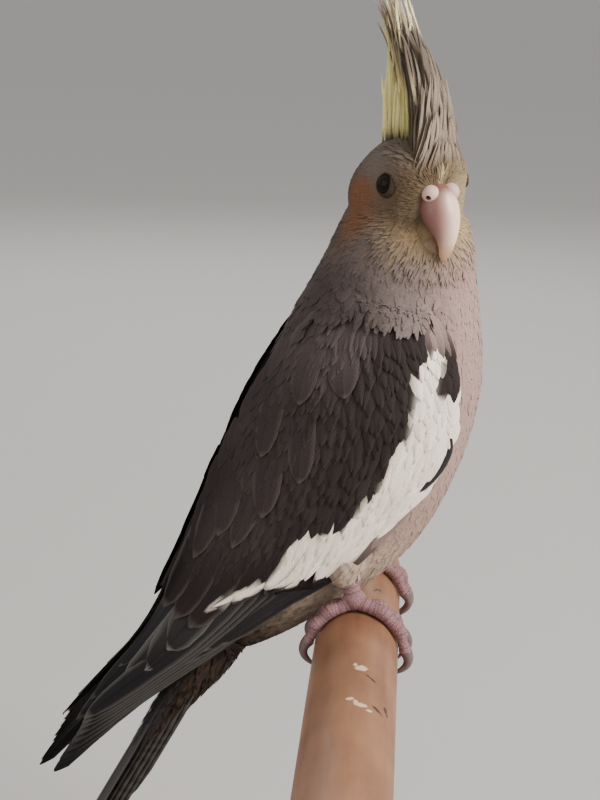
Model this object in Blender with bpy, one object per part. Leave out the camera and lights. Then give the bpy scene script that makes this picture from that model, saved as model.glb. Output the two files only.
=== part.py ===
"""Grey cockatiel, life size, on a cut length of dowel that two rods hold over a flat base.

Sizes are in millimetres and the meshes are scaled to metres at the end. The bird is described in its own
frame: +X forward, +Y to its left, +Z up, with the origin on the dowel's axis between its feet.
"""

import math

import bmesh
import bpy
import numpy as np
from mathutils import Matrix

# Driving sizes
MM = 0.001
GAP = 0.32
FLAT_ANGLE = math.radians(1.0)
PERCH_RADIUS = 12.5
PERCH_HEIGHT = 132.0
PERCH_NEAR = -94.0
PERCH_FAR = 91.0
BASE_LENGTH = 156.0
BASE_WIDTH = 106.0
BASE_THICKNESS = 9.0
BASE_CORNER = 12.0
BASE_EDGE = 1.5
ROD_RADIUS = 4.0
ROD_SOCKET = 5.0
ROD_PLACES = {"stand_rod_front": -60.0, "stand_rod_back": 57.0}
BIRD_PLACE = (12.0, 44.0, PERCH_HEIGHT)
BODY_YAW = math.radians(10.0)
STANCE = 20.0
EYE_RADIUS = 3.7
SEED = 5

# Body from the tail's root to the nape: back point (x, z), belly point (x, z) and half width
BODY_STATIONS = (
    ((-47.0, 2.0), (-34.0, -7.5), 6.0),
    ((-46.0, 14.0), (-25.0, -3.5), 9.5),
    ((-43.0, 28.0), (-14.0, 3.0), 14.0),
    ((-42.0, 43.0), (4.0, 15.5), 19.0),
    ((-38.5, 59.0), (18.5, 31.0), 22.5),
    ((-34.0, 75.0), (29.0, 53.0), 24.0),
    ((-28.5, 89.0), (34.0, 75.0), 23.5),
    ((-22.5, 101.0), (33.5, 92.0), 21.5),
    ((-17.5, 111.0), (31.5, 105.0), 19.6),
    ((-13.5, 119.0), (30.0, 116.0), 18.4),
    ((-9.5, 128.0), (27.0, 127.0), 17.4),
)
TAIL_STATION = 0.0
NECK_STATION = 7.6
BODY_FULLNESS = 0.045
BACK_FLATNESS = 0.11

# The head's own frame has +X along the bill's reach, +Y to its left and +Z up
HEAD_YAW = math.radians(-65.0)
HEAD_PITCH = math.radians(8.0)
HEAD_ROLL = math.radians(3.0)
HEAD_ORIGIN = (9.2, -3.8, 136.1)
SKULL_CENTRE = (-3.0, 0.0, -4.0)
SKULL_FRONT = 17.0
SKULL_BACK = 18.5
SKULL_UP = 18.0
SKULL_DOWN = 15.0
SKULL_HALF_WIDTH = 16.0
EYE_WAY = (7.0, 13.0, 5.8)
EYE_DEPTH = 2.5

# Bill sections from the root to the hooked tip: top (x, z), underside (x, z) and half width
UPPER_BILL = (
    ((9.5, 4.0), (7.0, -7.0), 4.4),
    ((13.5, 3.6), (10.5, -8.0), 5.1),
    ((17.2, 1.8), (13.6, -9.0), 5.1),
    ((19.8, -2.0), (15.6, -10.2), 4.7),
    ((21.0, -6.5), (16.8, -11.6), 3.9),
    ((21.0, -10.6), (17.4, -13.2), 2.9),
    ((20.2, -13.8), (17.8, -15.0), 1.9),
    ((19.0, -16.4), (18.0, -16.8), 0.8),
)
LOWER_BILL = (
    ((6.0, -6.0), (5.0, -13.6), 3.4),
    ((9.5, -7.5), (8.5, -14.8), 3.9),
    ((12.5, -9.5), (11.5, -15.6), 3.7),
    ((14.6, -12.0), (13.6, -15.8), 3.0),
    ((15.8, -14.0), (15.2, -15.6), 1.8),
)

# Folded wing: its lower and upper edges from the shoulder to the tip, and how far it bulges
WING_LOWER = (
    (15.0, 20.0, 104.0),
    (20.0, 26.0, 90.0),
    (21.0, 27.5, 76.0),
    (19.0, 27.0, 64.0),
    (12.0, 26.0, 50.0),
    (2.0, 24.0, 37.0),
    (-12.0, 20.5, 20.5),
    (-27.0, 17.0, 9.0),
    (-46.0, 14.0, -6.5),
    (-69.0, 11.0, -24.0),
    (-93.5, 9.5, -47.0),
)
WING_UPPER = (
    (-13.0, 14.0, 107.0),
    (-24.5, 9.0, 95.0),
    (-34.5, 6.0, 80.0),
    (-41.5, 4.0, 65.0),
    (-47.0, 3.0, 51.0),
    (-52.5, 2.5, 36.0),
    (-60.0, 2.5, 18.0),
    (-68.5, 2.5, 2.0),
    (-78.0, 3.5, -10.0),
    (-88.0, 5.5, -23.0),
    (-97.5, 7.0, -37.0),
)
WING_BULGE = (27.0, 36.0, 41.0, 38.5, 34.0, 29.0, 23.5, 18.8, 14.5, 11.0, 8.5)
FAR_WING_SHIFT = (-5.0, 0.0, -3.0)

# The wing's rows of feathers, from the lowest layer to the top one. Places are (u, v) on the wing, with u
# from shoulder to tip and v from the lower edge to the upper one, and lifts are heights over its surface.
# count, first and last root, first and last tip, half width, lifts at root and tip, rise per feather, rows
WING_ROWS = {
    "primary": (5, (0.44, 0.07), (0.50, 0.46), (0.985, 0.20), (0.90, 0.78), 4.9, (-4.7, -4.2), 0.75, 4),
    "secondary": (5, (0.33, 0.10), (0.40, 0.88), (0.61, 0.15), (0.87, 0.86), 7.0, (-3.4, -1.4), 0.0, 4),
    "greater": (5, (0.24, 0.10), (0.28, 0.90), (0.46, 0.08), (0.59, 0.90), 7.4, (-3.5, -0.9), 0.0, 4),
    "median": (5, (0.13, 0.10), (0.16, 0.90), (0.32, 0.08), (0.43, 0.92), 7.6, (-3.5, -0.7), 0.0, 4),
    "lesser": (5, (0.03, 0.12), (0.03, 0.88), (0.18, 0.08), (0.27, 0.92), 7.4, (-3.5, -0.5), 0.0, 4),
}
PRIMARY_BOW = 0.1
TIP_SPREAD = 0.008
CORE_FACE = -2.4
CORE_END = 0.62
VANE_THICKNESS = 0.52
SHINGLE = 0.45

# Crest rows from the forehead to the crown: place, count, length, spread, first and last lean in degrees
CREST_ROWS = (
    (14.0, 4, 16.0, 9.0, -10.0, 10.0),
    (11.0, 4, 26.0, 8.6, -9.0, 22.0),
    (8.5, 3, 34.0, 6.0, -8.0, 38.0),
    (5.0, 3, 42.0, 5.0, -2.0, 48.0),
    (1.0, 3, 52.0, 4.2, 3.0, 52.0),
    (-3.0, 3, 46.0, 4.6, 2.0, 30.0),
    (-7.0, 3, 36.0, 4.6, 3.0, 16.0),
)
CREST_ROOT = 3.5
CREST_WIDTH = 2.5

# Tail: where it leaves the body, the way it points, and the length of its feathers
TAIL_BASE = (-36.7, 0.0, 15.0)
TAIL_SLOPE = math.radians(61.3)
TAIL_LENGTH = 155.0

# Tail's body: reach, half width, half depth and the middle's rise
TAIL_CORE = (
    (30.0, 8.0, 6.8, -3.4),
    (44.0, 7.8, 4.8, -1.4),
    (58.0, 6.6, 3.4, -0.4),
    (70.0, 4.6, 2.0, 0.0),
)
TAIL_ROOT = 36.0
# Rows of coverts: reach of their roots, their length, and their angles round the tail from its top
TAIL_COVERTS = (
    (42.0, 26.0, (-130, 130)),
    (30.0, 26.0, (-100, 180, 100)),
    (30.0, 28.0, (-35, 35)),
)
# Its feathers in pairs from the middle outwards: how much shorter than the longest, side, rise, reach of
# the outer web and its fall in degrees
TAIL_PAIRS = (
    (0.0, 0.9, 2.9, 4.6, 6.0),
    (9.0, 3.3, 1.5, 3.6, 14.0),
    (22.0, 4.5, 0.5, 3.5, 22.0),
    (38.0, 5.4, -0.6, 3.4, 30.0),
    (56.0, 6.0, -1.7, 3.3, 38.0),
    (76.0, 6.4, -2.8, 3.2, 46.0),
)

# Feet: each toe's first and last angle round the dowel (90 is on top), its spread and its thickness
TOES = {
    "outer_front": (88.0, 6.0, 3.4, 2.1),
    "inner_front": (88.0, 16.0, -3.6, 1.9),
    "outer_back": (100.0, 168.0, 3.4, 2.0),
    "inner_back": (100.0, 150.0, -3.2, 1.8),
}
CLAW_TURN = 34.0
HUB_ANGLE = 94.0
HUB_RADIUS = 3.4
ANKLE_LENGTH = 4.2


def rotation(axis, angle):
    c, s = math.cos(angle), math.sin(angle)
    return {
        "x": np.array([[1, 0, 0], [0, c, -s], [0, s, c]]),
        "y": np.array([[c, 0, s], [0, 1, 0], [-s, 0, c]]),
        "z": np.array([[c, -s, 0], [s, c, 0], [0, 0, 1]]),
    }[axis]


HEAD_TURN = rotation("z", HEAD_YAW) @ rotation("y", HEAD_PITCH) @ rotation("x", HEAD_ROLL)
PERCH_TURN = rotation("z", -BODY_YAW)
TAIL_TURN = np.array([
    [-math.cos(TAIL_SLOPE), 0.0, -math.sin(TAIL_SLOPE)],
    [0.0, 1.0, 0.0],
    [-math.sin(TAIL_SLOPE), 0.0, math.cos(TAIL_SLOPE)],
])


def from_head(points):
    """Points of the head's frame, in the bird's."""
    return np.asarray(points, float) @ HEAD_TURN.T + HEAD_ORIGIN


def from_tail(points):
    """Points given as reach along the tail, side and rise from its middle, in the bird's frame."""
    return np.asarray(points, float) @ TAIL_TURN.T + TAIL_BASE


def round_perch(angle, side, radius):
    """Point round the dowel, in the bird's frame: 90 degrees is on top and 0 in front."""
    turned = math.radians(angle)
    return PERCH_TURN @ np.array([radius * math.cos(turned), side, radius * math.sin(turned)])


def unit(vector):
    return vector / np.linalg.norm(vector)


def along(stations, t):
    """Smooth value at t, counted in stations."""
    p = np.asarray(stations, float)
    i = min(max(int(math.floor(t)), 0), len(p) - 2)
    f = t - i
    before, here, after, beyond = p[max(i - 1, 0)], p[i], p[i + 1], p[min(i + 2, len(p) - 1)]
    leave, arrive = (after - before) / 2, (beyond - here) / 2
    return (
        (2 * f**3 - 3 * f**2 + 1) * here
        + (f**3 - 2 * f**2 + f) * leave
        + (3 * f**2 - 2 * f**3) * after
        + (f**3 - f**2) * arrive
    )


# Meshes


def material(name, colour, roughness, metallic=0.0):
    made = bpy.data.materials.get(name) or bpy.data.materials.new(name)
    made.use_nodes = True
    shader = made.node_tree.nodes["Principled BSDF"]
    shader.inputs["Base Color"].default_value = (*colour, 1.0)
    shader.inputs["Roughness"].default_value = roughness
    shader.inputs["Metallic"].default_value = metallic
    return made


def signed_volume(points, faces):
    total = 0.0
    for face in faces:
        a = points[face[0]]
        for k in range(1, len(face) - 1):
            total += np.dot(a, np.cross(points[face[k]], points[face[k + 1]]))
    return total / 6


def solid(name, points, faces):
    """A mesh object whose faces point out."""
    points = np.asarray(points, float)
    if signed_volume(points, faces) < 0:
        faces = [tuple(reversed(face)) for face in faces]
    mesh = bpy.data.meshes.new(name)
    mesh.from_pydata([tuple(p) for p in points], [], faces)
    made = bpy.data.objects.new(name, mesh)
    bpy.context.scene.collection.objects.link(made)
    return made


def loft(name, rings, start=None, end=None):
    """Closed solid through rings of equal count, with each end a fan to one point."""
    rings = [np.asarray(ring, float) for ring in rings]
    count = len(rings[0])
    points = [p for ring in rings for p in ring]
    faces = []
    for k in range(len(rings) - 1):
        for j in range(count):
            a, b = k * count + j, k * count + (j + 1) % count
            faces += [(a, b, b + count), (a, b + count, a + count)]
    points.append(rings[0].mean(0) if start is None else np.asarray(start, float))
    points.append(rings[-1].mean(0) if end is None else np.asarray(end, float))
    last = (len(rings) - 1) * count
    for j in range(count):
        faces.append(((j + 1) % count, j, len(points) - 2))
        faces.append((last + j, last + (j + 1) % count, len(points) - 1))
    return solid(name, points, faces)


def tube(name, path, radii, sides=6, flat=1.0, up=(0.0, 0.0, 1.0), domes=(0.5, 0.5)):
    """Solid that follows a path with its own radius at each point, flattened along its up direction."""
    path = np.asarray(path, float)
    tangents = np.gradient(path, axis=0)
    tangents /= np.linalg.norm(tangents, axis=1)[:, None]
    turns = np.arange(sides) * 2 * math.pi / sides
    rings = []
    for p, t, r in zip(path, tangents, radii):
        across = unit(np.cross(t, up))
        rise = np.cross(across, t)
        rings.append(p + r * (np.cos(turns)[:, None] * across + flat * np.sin(turns)[:, None] * rise))
    start = path[0] - tangents[0] * radii[0] * domes[0]
    end = path[-1] + tangents[-1] * radii[-1] * domes[1]
    return loft(name, rings, start, end)


def ellipsoid(name, centre, axes, turn, columns=12, rows=7):
    """Ellipsoid with its poles along the third axis."""
    angles = np.arange(columns) * 2 * math.pi / columns
    rings = []
    for k in range(1, rows):
        high = math.pi * k / rows
        wide = math.sin(high)
        ring = np.stack([wide * np.cos(angles), wide * np.sin(angles), np.full(columns, -math.cos(high))], 1)
        rings.append((ring * axes) @ turn.T + centre)
    pole = turn @ np.array([0.0, 0.0, axes[2]])
    return loft(name, rings, centre - pole, centre + pole)


def slab(name, outer, inner):
    """Closed solid between two grids of points with the same rows and columns."""
    rows, columns = outer.shape[:2]
    count = rows * columns
    points = np.concatenate([outer.reshape(-1, 3), inner.reshape(-1, 3)])
    faces = []

    def band(a, b):
        faces.extend([(a, b + count, b), (a, a + count, b + count)])

    for i in range(rows - 1):
        for j in range(columns - 1):
            a = i * columns + j
            b, c, d = a + 1, a + columns + 1, a + columns
            faces.extend([(a, c, b), (a, d, c)])
            faces.extend([(a + count, b + count, c + count), (a + count, c + count, d + count)])
        band(i * columns, (i + 1) * columns)
        band((i + 2) * columns - 1, (i + 1) * columns - 1)
    for j in range(columns - 1):
        band(j + 1, j)
        band((rows - 1) * columns + j, (rows - 1) * columns + j + 1)
    return solid(name, points, faces)


def vane(lines, normals):
    """Feather vane: rows of points across it, and the way that each row faces."""
    lines = np.asarray(lines, float)
    half = VANE_THICKNESS / 2 * np.asarray(normals, float)[:, None, :]
    return slab("vane", lines + half, lines - half)


# Boolean steps


def apply_modifiers(obj):
    graph = bpy.context.evaluated_depsgraph_get()
    made = bpy.data.meshes.new_from_object(obj.evaluated_get(graph))
    obj.modifiers.clear()
    obj.data = made


def island_volume(faces):
    total = 0.0
    for face in faces:
        corners = [vert.co for vert in face.verts]
        for k in range(1, len(corners) - 1):
            total += corners[0].dot(corners[k].cross(corners[k + 1]))
    return abs(total) / 6


def keep_largest(obj):
    """Keeps the largest closed surface of a mesh, with the faces that lie in one plane joined."""
    bm = bmesh.new()
    bm.from_mesh(obj.data)
    left, islands = set(bm.faces), []
    while left:
        island, queue = set(), [left.pop()]
        while queue:
            face = queue.pop()
            island.add(face)
            for edge in face.edges:
                for other in edge.link_faces:
                    if other in left:
                        left.remove(other)
                        queue.append(other)
        islands.append(island)
    islands.sort(key=island_volume)
    for island in islands[:-1]:
        bmesh.ops.delete(bm, geom=list(island), context="FACES")
    bmesh.ops.dissolve_limit(bm, angle_limit=FLAT_ANGLE, verts=bm.verts, edges=bm.edges)
    bm.to_mesh(obj.data)
    bm.free()
    return obj


def combine(obj, others, operation):
    """One Boolean of an object with all the others, which are then removed."""
    group = bpy.data.collections.new("operands")
    bpy.context.scene.collection.children.link(group)
    for other in others:
        group.objects.link(other)
    step = obj.modifiers.new("combine", "BOOLEAN")
    step.operation = operation
    step.operand_type = "COLLECTION"
    step.collection = group
    step.solver = "EXACT"
    apply_modifiers(obj)
    for other in others:
        bpy.data.objects.remove(other)
    bpy.data.collections.remove(group)
    return keep_largest(obj)


def clear_of(obj, *rooms):
    """Cuts an object back with each cutter in turn."""
    for room in rooms:
        combine(obj, [room], "DIFFERENCE")
    return obj


# Body


def body_ring(t, swell=0.0, count=24):
    """Cross-section of the body at station t, swollen by a distance."""
    values = along([(*back, *belly, wide) for back, belly, wide in BODY_STATIONS], t)
    back = np.array([values[0], 0.0, values[1]])
    belly = np.array([values[2], 0.0, values[3]])
    angles = np.arange(count) * 2 * math.pi / count
    flat = BACK_FLATNESS * min(1.0, max(0.0, 7.2 - t)) * (np.cos(angles) > 0)
    fullness = (1 + (BODY_FULLNESS - flat) * np.sin(2 * angles) ** 2)[:, None]
    depth = np.cos(angles)[:, None] * ((back - belly) / 2 + swell * unit(back - belly))
    width = np.sin(angles)[:, None] * np.array([0.0, values[4] + swell, 0.0])
    return (back + belly) / 2 + fullness * (depth + width)


def station_length(t, step=0.01):
    return np.linalg.norm(body_ring(t + step).mean(0) - body_ring(t - step).mean(0)) / (2 * step)


def body_room():
    """Cutter that leaves the gap round torso and neck."""
    return loft("body_room", [body_ring(t, GAP) for t in np.linspace(0, len(BODY_STATIONS) - 1, 17)])


def perch_room():
    """Cutter that keeps the belly off the dowel, and further off it where the feet are."""
    rings = []
    for side, room in ((-70, 0.4), (-29, 0.4), (-25, 5.2), (-15, 5.2), (-11, 0.4), (11, 0.4), (15, 5.2),
                       (25, 5.2), (29, 0.4), (70, 0.4)):
        rings.append([round_perch(angle, side, PERCH_RADIUS + room) for angle in range(0, 360, 12)])
    return loft("perch_room", rings)


def make_torso():
    end = NECK_STATION - GAP / station_length(NECK_STATION)
    torso = loft("torso", [body_ring(t) for t in np.linspace(TAIL_STATION, end, 13)])
    return clear_of(torso, perch_room())


def make_neck():
    rings = [body_ring(t) for t in np.linspace(NECK_STATION, len(BODY_STATIONS) - 1, 5)]
    middle = rings[-1].mean(0)
    rings.append(middle + (rings[-1] - middle) * 0.86 + (0.0, 0.0, 2.6))
    return clear_of(loft("neck", rings), make_skull("room", GAP))


# Head


def skull_point(direction):
    """Point of the head's feathered surface along a direction from its middle."""
    d = unit(np.asarray(direction, float))
    ahead = 0.5 + 0.5 * math.tanh(3 * d[0])
    length = SKULL_BACK + (SKULL_FRONT - SKULL_BACK) * ahead
    height = SKULL_UP if d[2] > 0 else SKULL_DOWN
    square = 2.0 + 0.6 * ahead
    peak = 1.6 + 1.7 * ahead if d[2] > 0 else 2.1
    level = ((abs(d[0]) / length) ** square + (abs(d[1]) / SKULL_HALF_WIDTH) ** square) ** (1 / square)
    p = d / (level**peak + (abs(d[2]) / height) ** peak) ** (1 / peak)
    sideways = math.copysign(min(1.0, abs(d[1]) * 2), d[1])
    eye = math.exp(-((p[0] - 6.0) ** 2 + (p[2] - 6.0) ** 2) / 40.0)
    forehead = math.exp(-((p[0] - 12.0) ** 2 + (p[2] - 12.0) ** 2) / 40.0)
    p[1] -= sideways * 1.2 * eye
    return p + np.array([2.2, 0.0, 0.8]) * forehead + SKULL_CENTRE


def make_skull(name, swell=0.0, columns=26, rows=13):
    angles = np.arange(columns) * 2 * math.pi / columns
    rings = []
    for k in range(1, rows):
        high = math.pi * k / rows
        level = math.sin(high)
        ways = [(level * math.cos(a), level * math.sin(a), -math.cos(high)) for a in angles]
        rings.append(from_head([skull_point(way) + swell * np.array(way) for way in ways]))
    start, end = (skull_point((0, 0, z)) + (0.0, 0.0, swell * z) for z in (-1, 1))
    return loft(name, rings, from_head(start), from_head(end))


def skull_normal(direction, step=0.05):
    """Outward direction of the head's surface at one eye's place."""
    d = np.asarray(direction, float)
    ahead = skull_point(d + (step, 0, 0)) - skull_point(d - (step, 0, 0))
    above = skull_point(d + (0, 0, step)) - skull_point(d - (0, 0, step))
    normal = unit(np.cross(ahead, above))
    return normal if normal @ d > 0 else -normal


def eye_way(side):
    return np.array(EYE_WAY) * (1.0, side, 1.0)


def make_eye(name, side, swell=0.0):
    place = skull_point(eye_way(side)) - EYE_DEPTH * skull_normal(eye_way(side))
    radius = EYE_RADIUS + swell
    return ellipsoid(name, from_head(place), np.full(3, radius), HEAD_TURN @ rotation("x", math.pi / 2))


def make_lids(side):
    """Ring of bare lid round one eye."""
    outward = skull_normal(eye_way(side))
    middle = skull_point(eye_way(side)) - 0.35 * outward
    ahead = unit(np.cross(outward, (0.0, 0.0, 1.0)))
    above = np.cross(outward, ahead)
    around, section = 14, 5
    turns = np.arange(section) * 2 * math.pi / section
    rings = []
    for a in np.arange(around) * 2 * math.pi / around:
        out = math.cos(a) * ahead + math.sin(a) * above
        centre = middle + out * 3.35
        rings.append([centre + 0.75 * (math.cos(b) * out + math.sin(b) * outward) for b in turns])
    points = from_head(np.concatenate(rings))
    faces = []
    for i in range(around):
        for j in range(section):
            a, b = i * section + j, i * section + (j + 1) % section
            c, d = (i + 1) % around * section + (j + 1) % section, (i + 1) % around * section + j
            faces += [(a, b, c), (a, c, d)]
    return solid("lids", points, faces)


def make_bill(name, sections, swell=0.0, count=12):
    rings = []
    for t in np.linspace(0, len(sections) - 1, len(sections) + 3):
        values = along([(*top, *under, wide) for top, under, wide in sections], t)
        top = np.array([values[0], 0.0, values[1]])
        under = np.array([values[2], 0.0, values[3]])
        angles = np.arange(count) * 2 * math.pi / count
        pinch = 1 - 0.16 * np.maximum(0, np.cos(angles)) ** 2
        depth = (top - under) / 2 + swell * unit(top - under)
        width = np.array([0.0, values[4] + swell, 0.0])
        ring = np.cos(angles)[:, None] * depth + (np.sin(angles) * pinch)[:, None] * width
        rings.append(from_head((top + under) / 2 + ring))
    ends = (rings[0].mean(0), rings[-1].mean(0) + swell * unit(rings[-1].mean(0) - rings[-2].mean(0)))
    return loft(name, rings, *ends)


def make_cere(name, swell=0.0):
    """Bare swelling over the root of the bill, a lobe round each nostril."""
    cere = ellipsoid(name, from_head((13.2, 0.0, 3.0)), np.array([3.6, 4.6, 2.6]) + swell, HEAD_TURN)
    lobes = [
        ellipsoid("lobe", from_head((14.0, side * 3.3, 2.2)), np.array([3.0, 2.9, 2.9]) + swell, HEAD_TURN)
        for side in (-1, 1)
    ]
    return combine(cere, lobes, "UNION")


def make_nostrils():
    """Cutters for the two holes, one on the outer side of each lobe."""
    paths = [from_head([(13.0, side * 3.4, 2.3), (17.0, side * 5.9, 3.2)]) for side in (-1, 1)]
    return [tube("nostril", path, (0.35, 0.95), sides=8, domes=(0.0, 0.0)) for path in paths]


def make_crest(draw):
    """Crest feathers, which rise from the crown and lean back as they grow."""
    feathers = []
    for place, count, length, spread, lean, last_lean in CREST_ROWS:
        for side in np.linspace(-1, 1, count):
            root = skull_point((place + 3.0, side * spread, 17.0))
            reach = length * draw.uniform(0.9, 1.06) * (1 - 0.12 * side**2)
            twist = math.radians(draw.uniform(-20, 20) + 25 * side)
            across = np.array([math.sin(twist), math.cos(twist), 0.0])
            steps, point, lines, normals = (0.0, 0.4, 0.75, 1.0), root, [], []
            for k, step in enumerate(steps):
                angle = math.radians(lean + (last_lean - lean) * step)
                way = np.array([-math.sin(angle), -0.5 * side * spread / length, math.cos(angle)])
                point = point + way * (reach * (step - steps[k - 1]) if k else -CREST_ROOT)
                wide = CREST_WIDTH * (0.8, 1.0, 0.75, 0.14)[k]
                lines.append([point - across * wide, point + across * wide])
                normals.append(unit(np.cross(across, way)))
            feathers.append(vane(from_head(lines), np.array(normals) @ HEAD_TURN.T))
    return feathers


# Wings


def wing_point(u, v):
    """Point of the folded wing's outside: u runs from shoulder to tip and v from lower to upper edge."""
    t = min(max(u, 0.0), 1.0) * (len(WING_LOWER) - 1)
    low, high, bulge = along(WING_LOWER, t), along(WING_UPPER, t), along(np.array(WING_BULGE)[:, None], t)
    knee = 0.31 * low + 0.69 * high
    knee[1] = bulge[0]
    p = (1 - v) ** 2 * low + 2 * v * (1 - v) * knee + v**2 * high
    return p * np.array([1.0, -1.0, 1.0])


def wing_normal(u, v, step=0.004):
    """Outward direction of the right wing's surface."""
    du = wing_point(u + step, v) - wing_point(u - step, v)
    dv = wing_point(u, v + step) - wing_point(u, v - step)
    normal = unit(np.cross(du, dv))
    return normal if normal[1] < 0 else -normal


def wing_surface(u, v, height):
    """Point at a height over the wing, with all heights drawn in where its edges lie on the body."""
    inside = min(1.0, max(0.0, min(v, 1 - v) / 0.25) + max(0.0, u - 0.5) / 0.15)
    return wing_point(u, v) + wing_normal(u, v) * height * (0.4 + 0.6 * inside)


def wing_layer(lift, start, end, rows=11, columns=6):
    """Grid of points over the wing's outside."""
    grid = np.empty((rows, columns, 3))
    for i, u in enumerate(np.linspace(start, end, rows)):
        for j, v in enumerate(np.linspace(0.02, 0.98, columns)):
            grid[i, j] = wing_surface(u, v, lift(u))
    return grid


def wing_feather(root, tip, wide, lifts, bow, rows, left):
    """One vane that lies along the wing, its lower edge over the feather below it."""
    lines, normals = [], []
    for step in np.linspace(0, 1, rows):
        u, v = root + (tip - root) * step - (0.0, 4 * bow * step * (1 - step))
        ahead = wing_point(u + 0.01, v) - wing_point(u - 0.01, v)
        above = wing_point(u, v + 0.01) - wing_point(u, v - 0.01)
        slopes = np.stack([ahead, above], 1) / 0.02
        way = unit(slopes @ (tip - root))
        normal = wing_normal(u, v)
        across = np.cross(way, normal)
        across *= math.copysign(1.0, across @ above)
        half = wide * float(np.interp(step, (0, 0.3, 0.6, 0.86, 1), (0.6, 0.95, 1.0, 0.8, 0.22)))
        lift = lifts[0] + (lifts[1] - lifts[0]) * step
        row = []
        for edge in (-1, 0, 1):
            du, dv = np.linalg.lstsq(slopes, across * half * edge, rcond=None)[0]
            height = lift - SHINGLE * edge * min(1.0, 0.3 + step) - 0.25 * abs(edge)
            row.append(wing_surface(u + du, min(max(v + dv, -0.03), 1.01), height))
        lines.append(row)
        normals.append(normal)
    flip = np.array([1.0, -1.0, 1.0]) if left else 1.0
    return vane(mirrored(np.array(lines), left), np.array(normals) * flip)


def mirrored(points, left):
    """A right wing's points, moved across to the left side where asked."""
    if not left:
        return points
    flipped = points * np.array([1.0, -1.0, 1.0])
    reach = np.clip((60.0 - points[..., 2]) / 100.0, 0.0, 1.0)[..., None]
    return flipped + reach * FAR_WING_SHIFT


def make_wing(name, left, draw):
    """Folded wing: a core against the body, with its feathers in overlapping rows."""
    outer = wing_layer(lambda u: CORE_FACE, 0.02, CORE_END)
    inner = wing_layer(lambda u: CORE_FACE - 4.0 - 5.0 * (1 - u / CORE_END), 0.02, CORE_END)
    core = slab(name, mirrored(outer, left), mirrored(inner, left))
    feathers = []
    for count, root, last_root, tip, last_tip, wide, lifts, rise, rows in WING_ROWS.values():
        for k in range(count):
            share = k / (count - 1)
            here = np.array(root) + (np.array(last_root) - root) * share
            there = np.array(tip) + (np.array(last_tip) - tip) * share
            there = there + draw.uniform(-TIP_SPREAD, TIP_SPREAD, 2)
            heights = (lifts[0] + 0.3 * rise * k, lifts[1] + rise * k)
            bow = PRIMARY_BOW * (1 - share) if rise else 0.0
            feathers.append(wing_feather(here, there, wide, heights, bow, rows, left))
    return combine(core, feathers, "UNION")


# Tail


def tail_rings(swell, rows):
    """Rings round the tail, from the body's end on."""
    body_end = body_ring(TAIL_STATION, swell)
    rings = [body_end + GAP * unit(body_end.mean(0) - body_ring(TAIL_STATION + 0.1).mean(0))]
    angles = np.arange(len(body_end)) * 2 * math.pi / len(body_end)
    for reach, wide, deep, middle in rows:
        side = np.sin(angles) * (wide + swell)
        rise = np.cos(angles) * (deep + swell) + middle
        rings.append(from_tail(np.stack([np.full(len(angles), reach), side, rise], 1)))
    return rings


def tail_room():
    """Cutter that keeps the wings off the tail's body and off the roots of its feathers."""
    reach, wide, deep, middle = TAIL_CORE[1]
    end = (TAIL_CORE[-1][0] + 15.0, wide + 2.2, deep + 0.4, 0.0)
    return loft("tail_room", tail_rings(GAP, (TAIL_CORE[0], (reach, wide + 2.0, deep + 1.0, middle), end)))


def tail_feather(pair, side):
    """One long tail feather, with its inner web under the one nearer the middle."""
    shorter, off, rise, outer, fall = TAIL_PAIRS[pair]
    rise -= 0.8 if pair == 0 and side > 0 else 0.0
    inner = off - 0.3 if pair else off + 2.2
    lines = []
    for step in (0.0, 0.35, 0.8, 1.0):
        reach = TAIL_ROOT + (TAIL_LENGTH - shorter - TAIL_ROOT) * step
        half = float(np.interp(step, (0, 0.35, 0.8, 1), (0.5, 1.0, 0.9, 0.12)))
        high = rise * (1 - 0.16 * step)
        drop = outer * half * math.sin(math.radians(fall))
        out = outer * half * math.cos(math.radians(fall))
        lines.append([
            (reach, side * (off - inner * half), high - 0.1),
            (reach, side * off, high + 0.1),
            (reach, side * (off + out), high - drop),
        ])
    return vane(from_tail(lines), np.tile(TAIL_TURN @ (0.0, 0.0, 1.0), (len(lines), 1)))


def tail_covert(reach, length, angle, wide):
    """Short feather on the tail's body, at an angle round it from the top."""
    rows = np.array(TAIL_CORE)
    lines, normals = [], []
    for step in np.linspace(0, 1, 4):
        here = reach + length * step
        half_wide, half_deep, middle = (np.interp(here, rows[:, 0], rows[:, k]) for k in (1, 2, 3))
        lift = -1.0 + 2.2 * step
        row = []
        for edge in (-1, 0, 1):
            spread = wide * float(np.interp(step, (0, 0.5, 0.85, 1), (0.7, 1.0, 0.8, 0.25)))
            turn = math.radians(angle) + edge * spread / (half_wide + 1)
            high = lift - 0.35 * edge - 0.2 * abs(edge)
            up = (half_deep + high) * math.cos(turn) + middle
            row.append((here, (half_wide + high) * math.sin(turn), up))
        lines.append(row)
        normals.append(TAIL_TURN @ (0.0, math.sin(math.radians(angle)), math.cos(math.radians(angle))))
    return vane(from_tail(lines), normals)


def make_tail(name):
    """Tail: a short body with twelve long feathers folded like a steep roof, and its coverts."""
    core = loft(name, tail_rings(0.0, TAIL_CORE))
    feathers = [tail_feather(pair, side) for pair in range(len(TAIL_PAIRS)) for side in (-1, 1)]
    for reach, length, angles in TAIL_COVERTS:
        feathers += [tail_covert(reach, length, angle, 5.6) for angle in angles]
    return combine(core, feathers, "UNION")


# Legs and feet


def ankle_point(side, rise):
    """Point on the line from the toes' hub up into the feathered leg."""
    hub = round_perch(HUB_ANGLE, side * STANCE, PERCH_RADIUS + GAP + HUB_RADIUS)
    return hub + rise * unit(np.array([-0.3, -0.12 * side, 1.0]))


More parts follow.
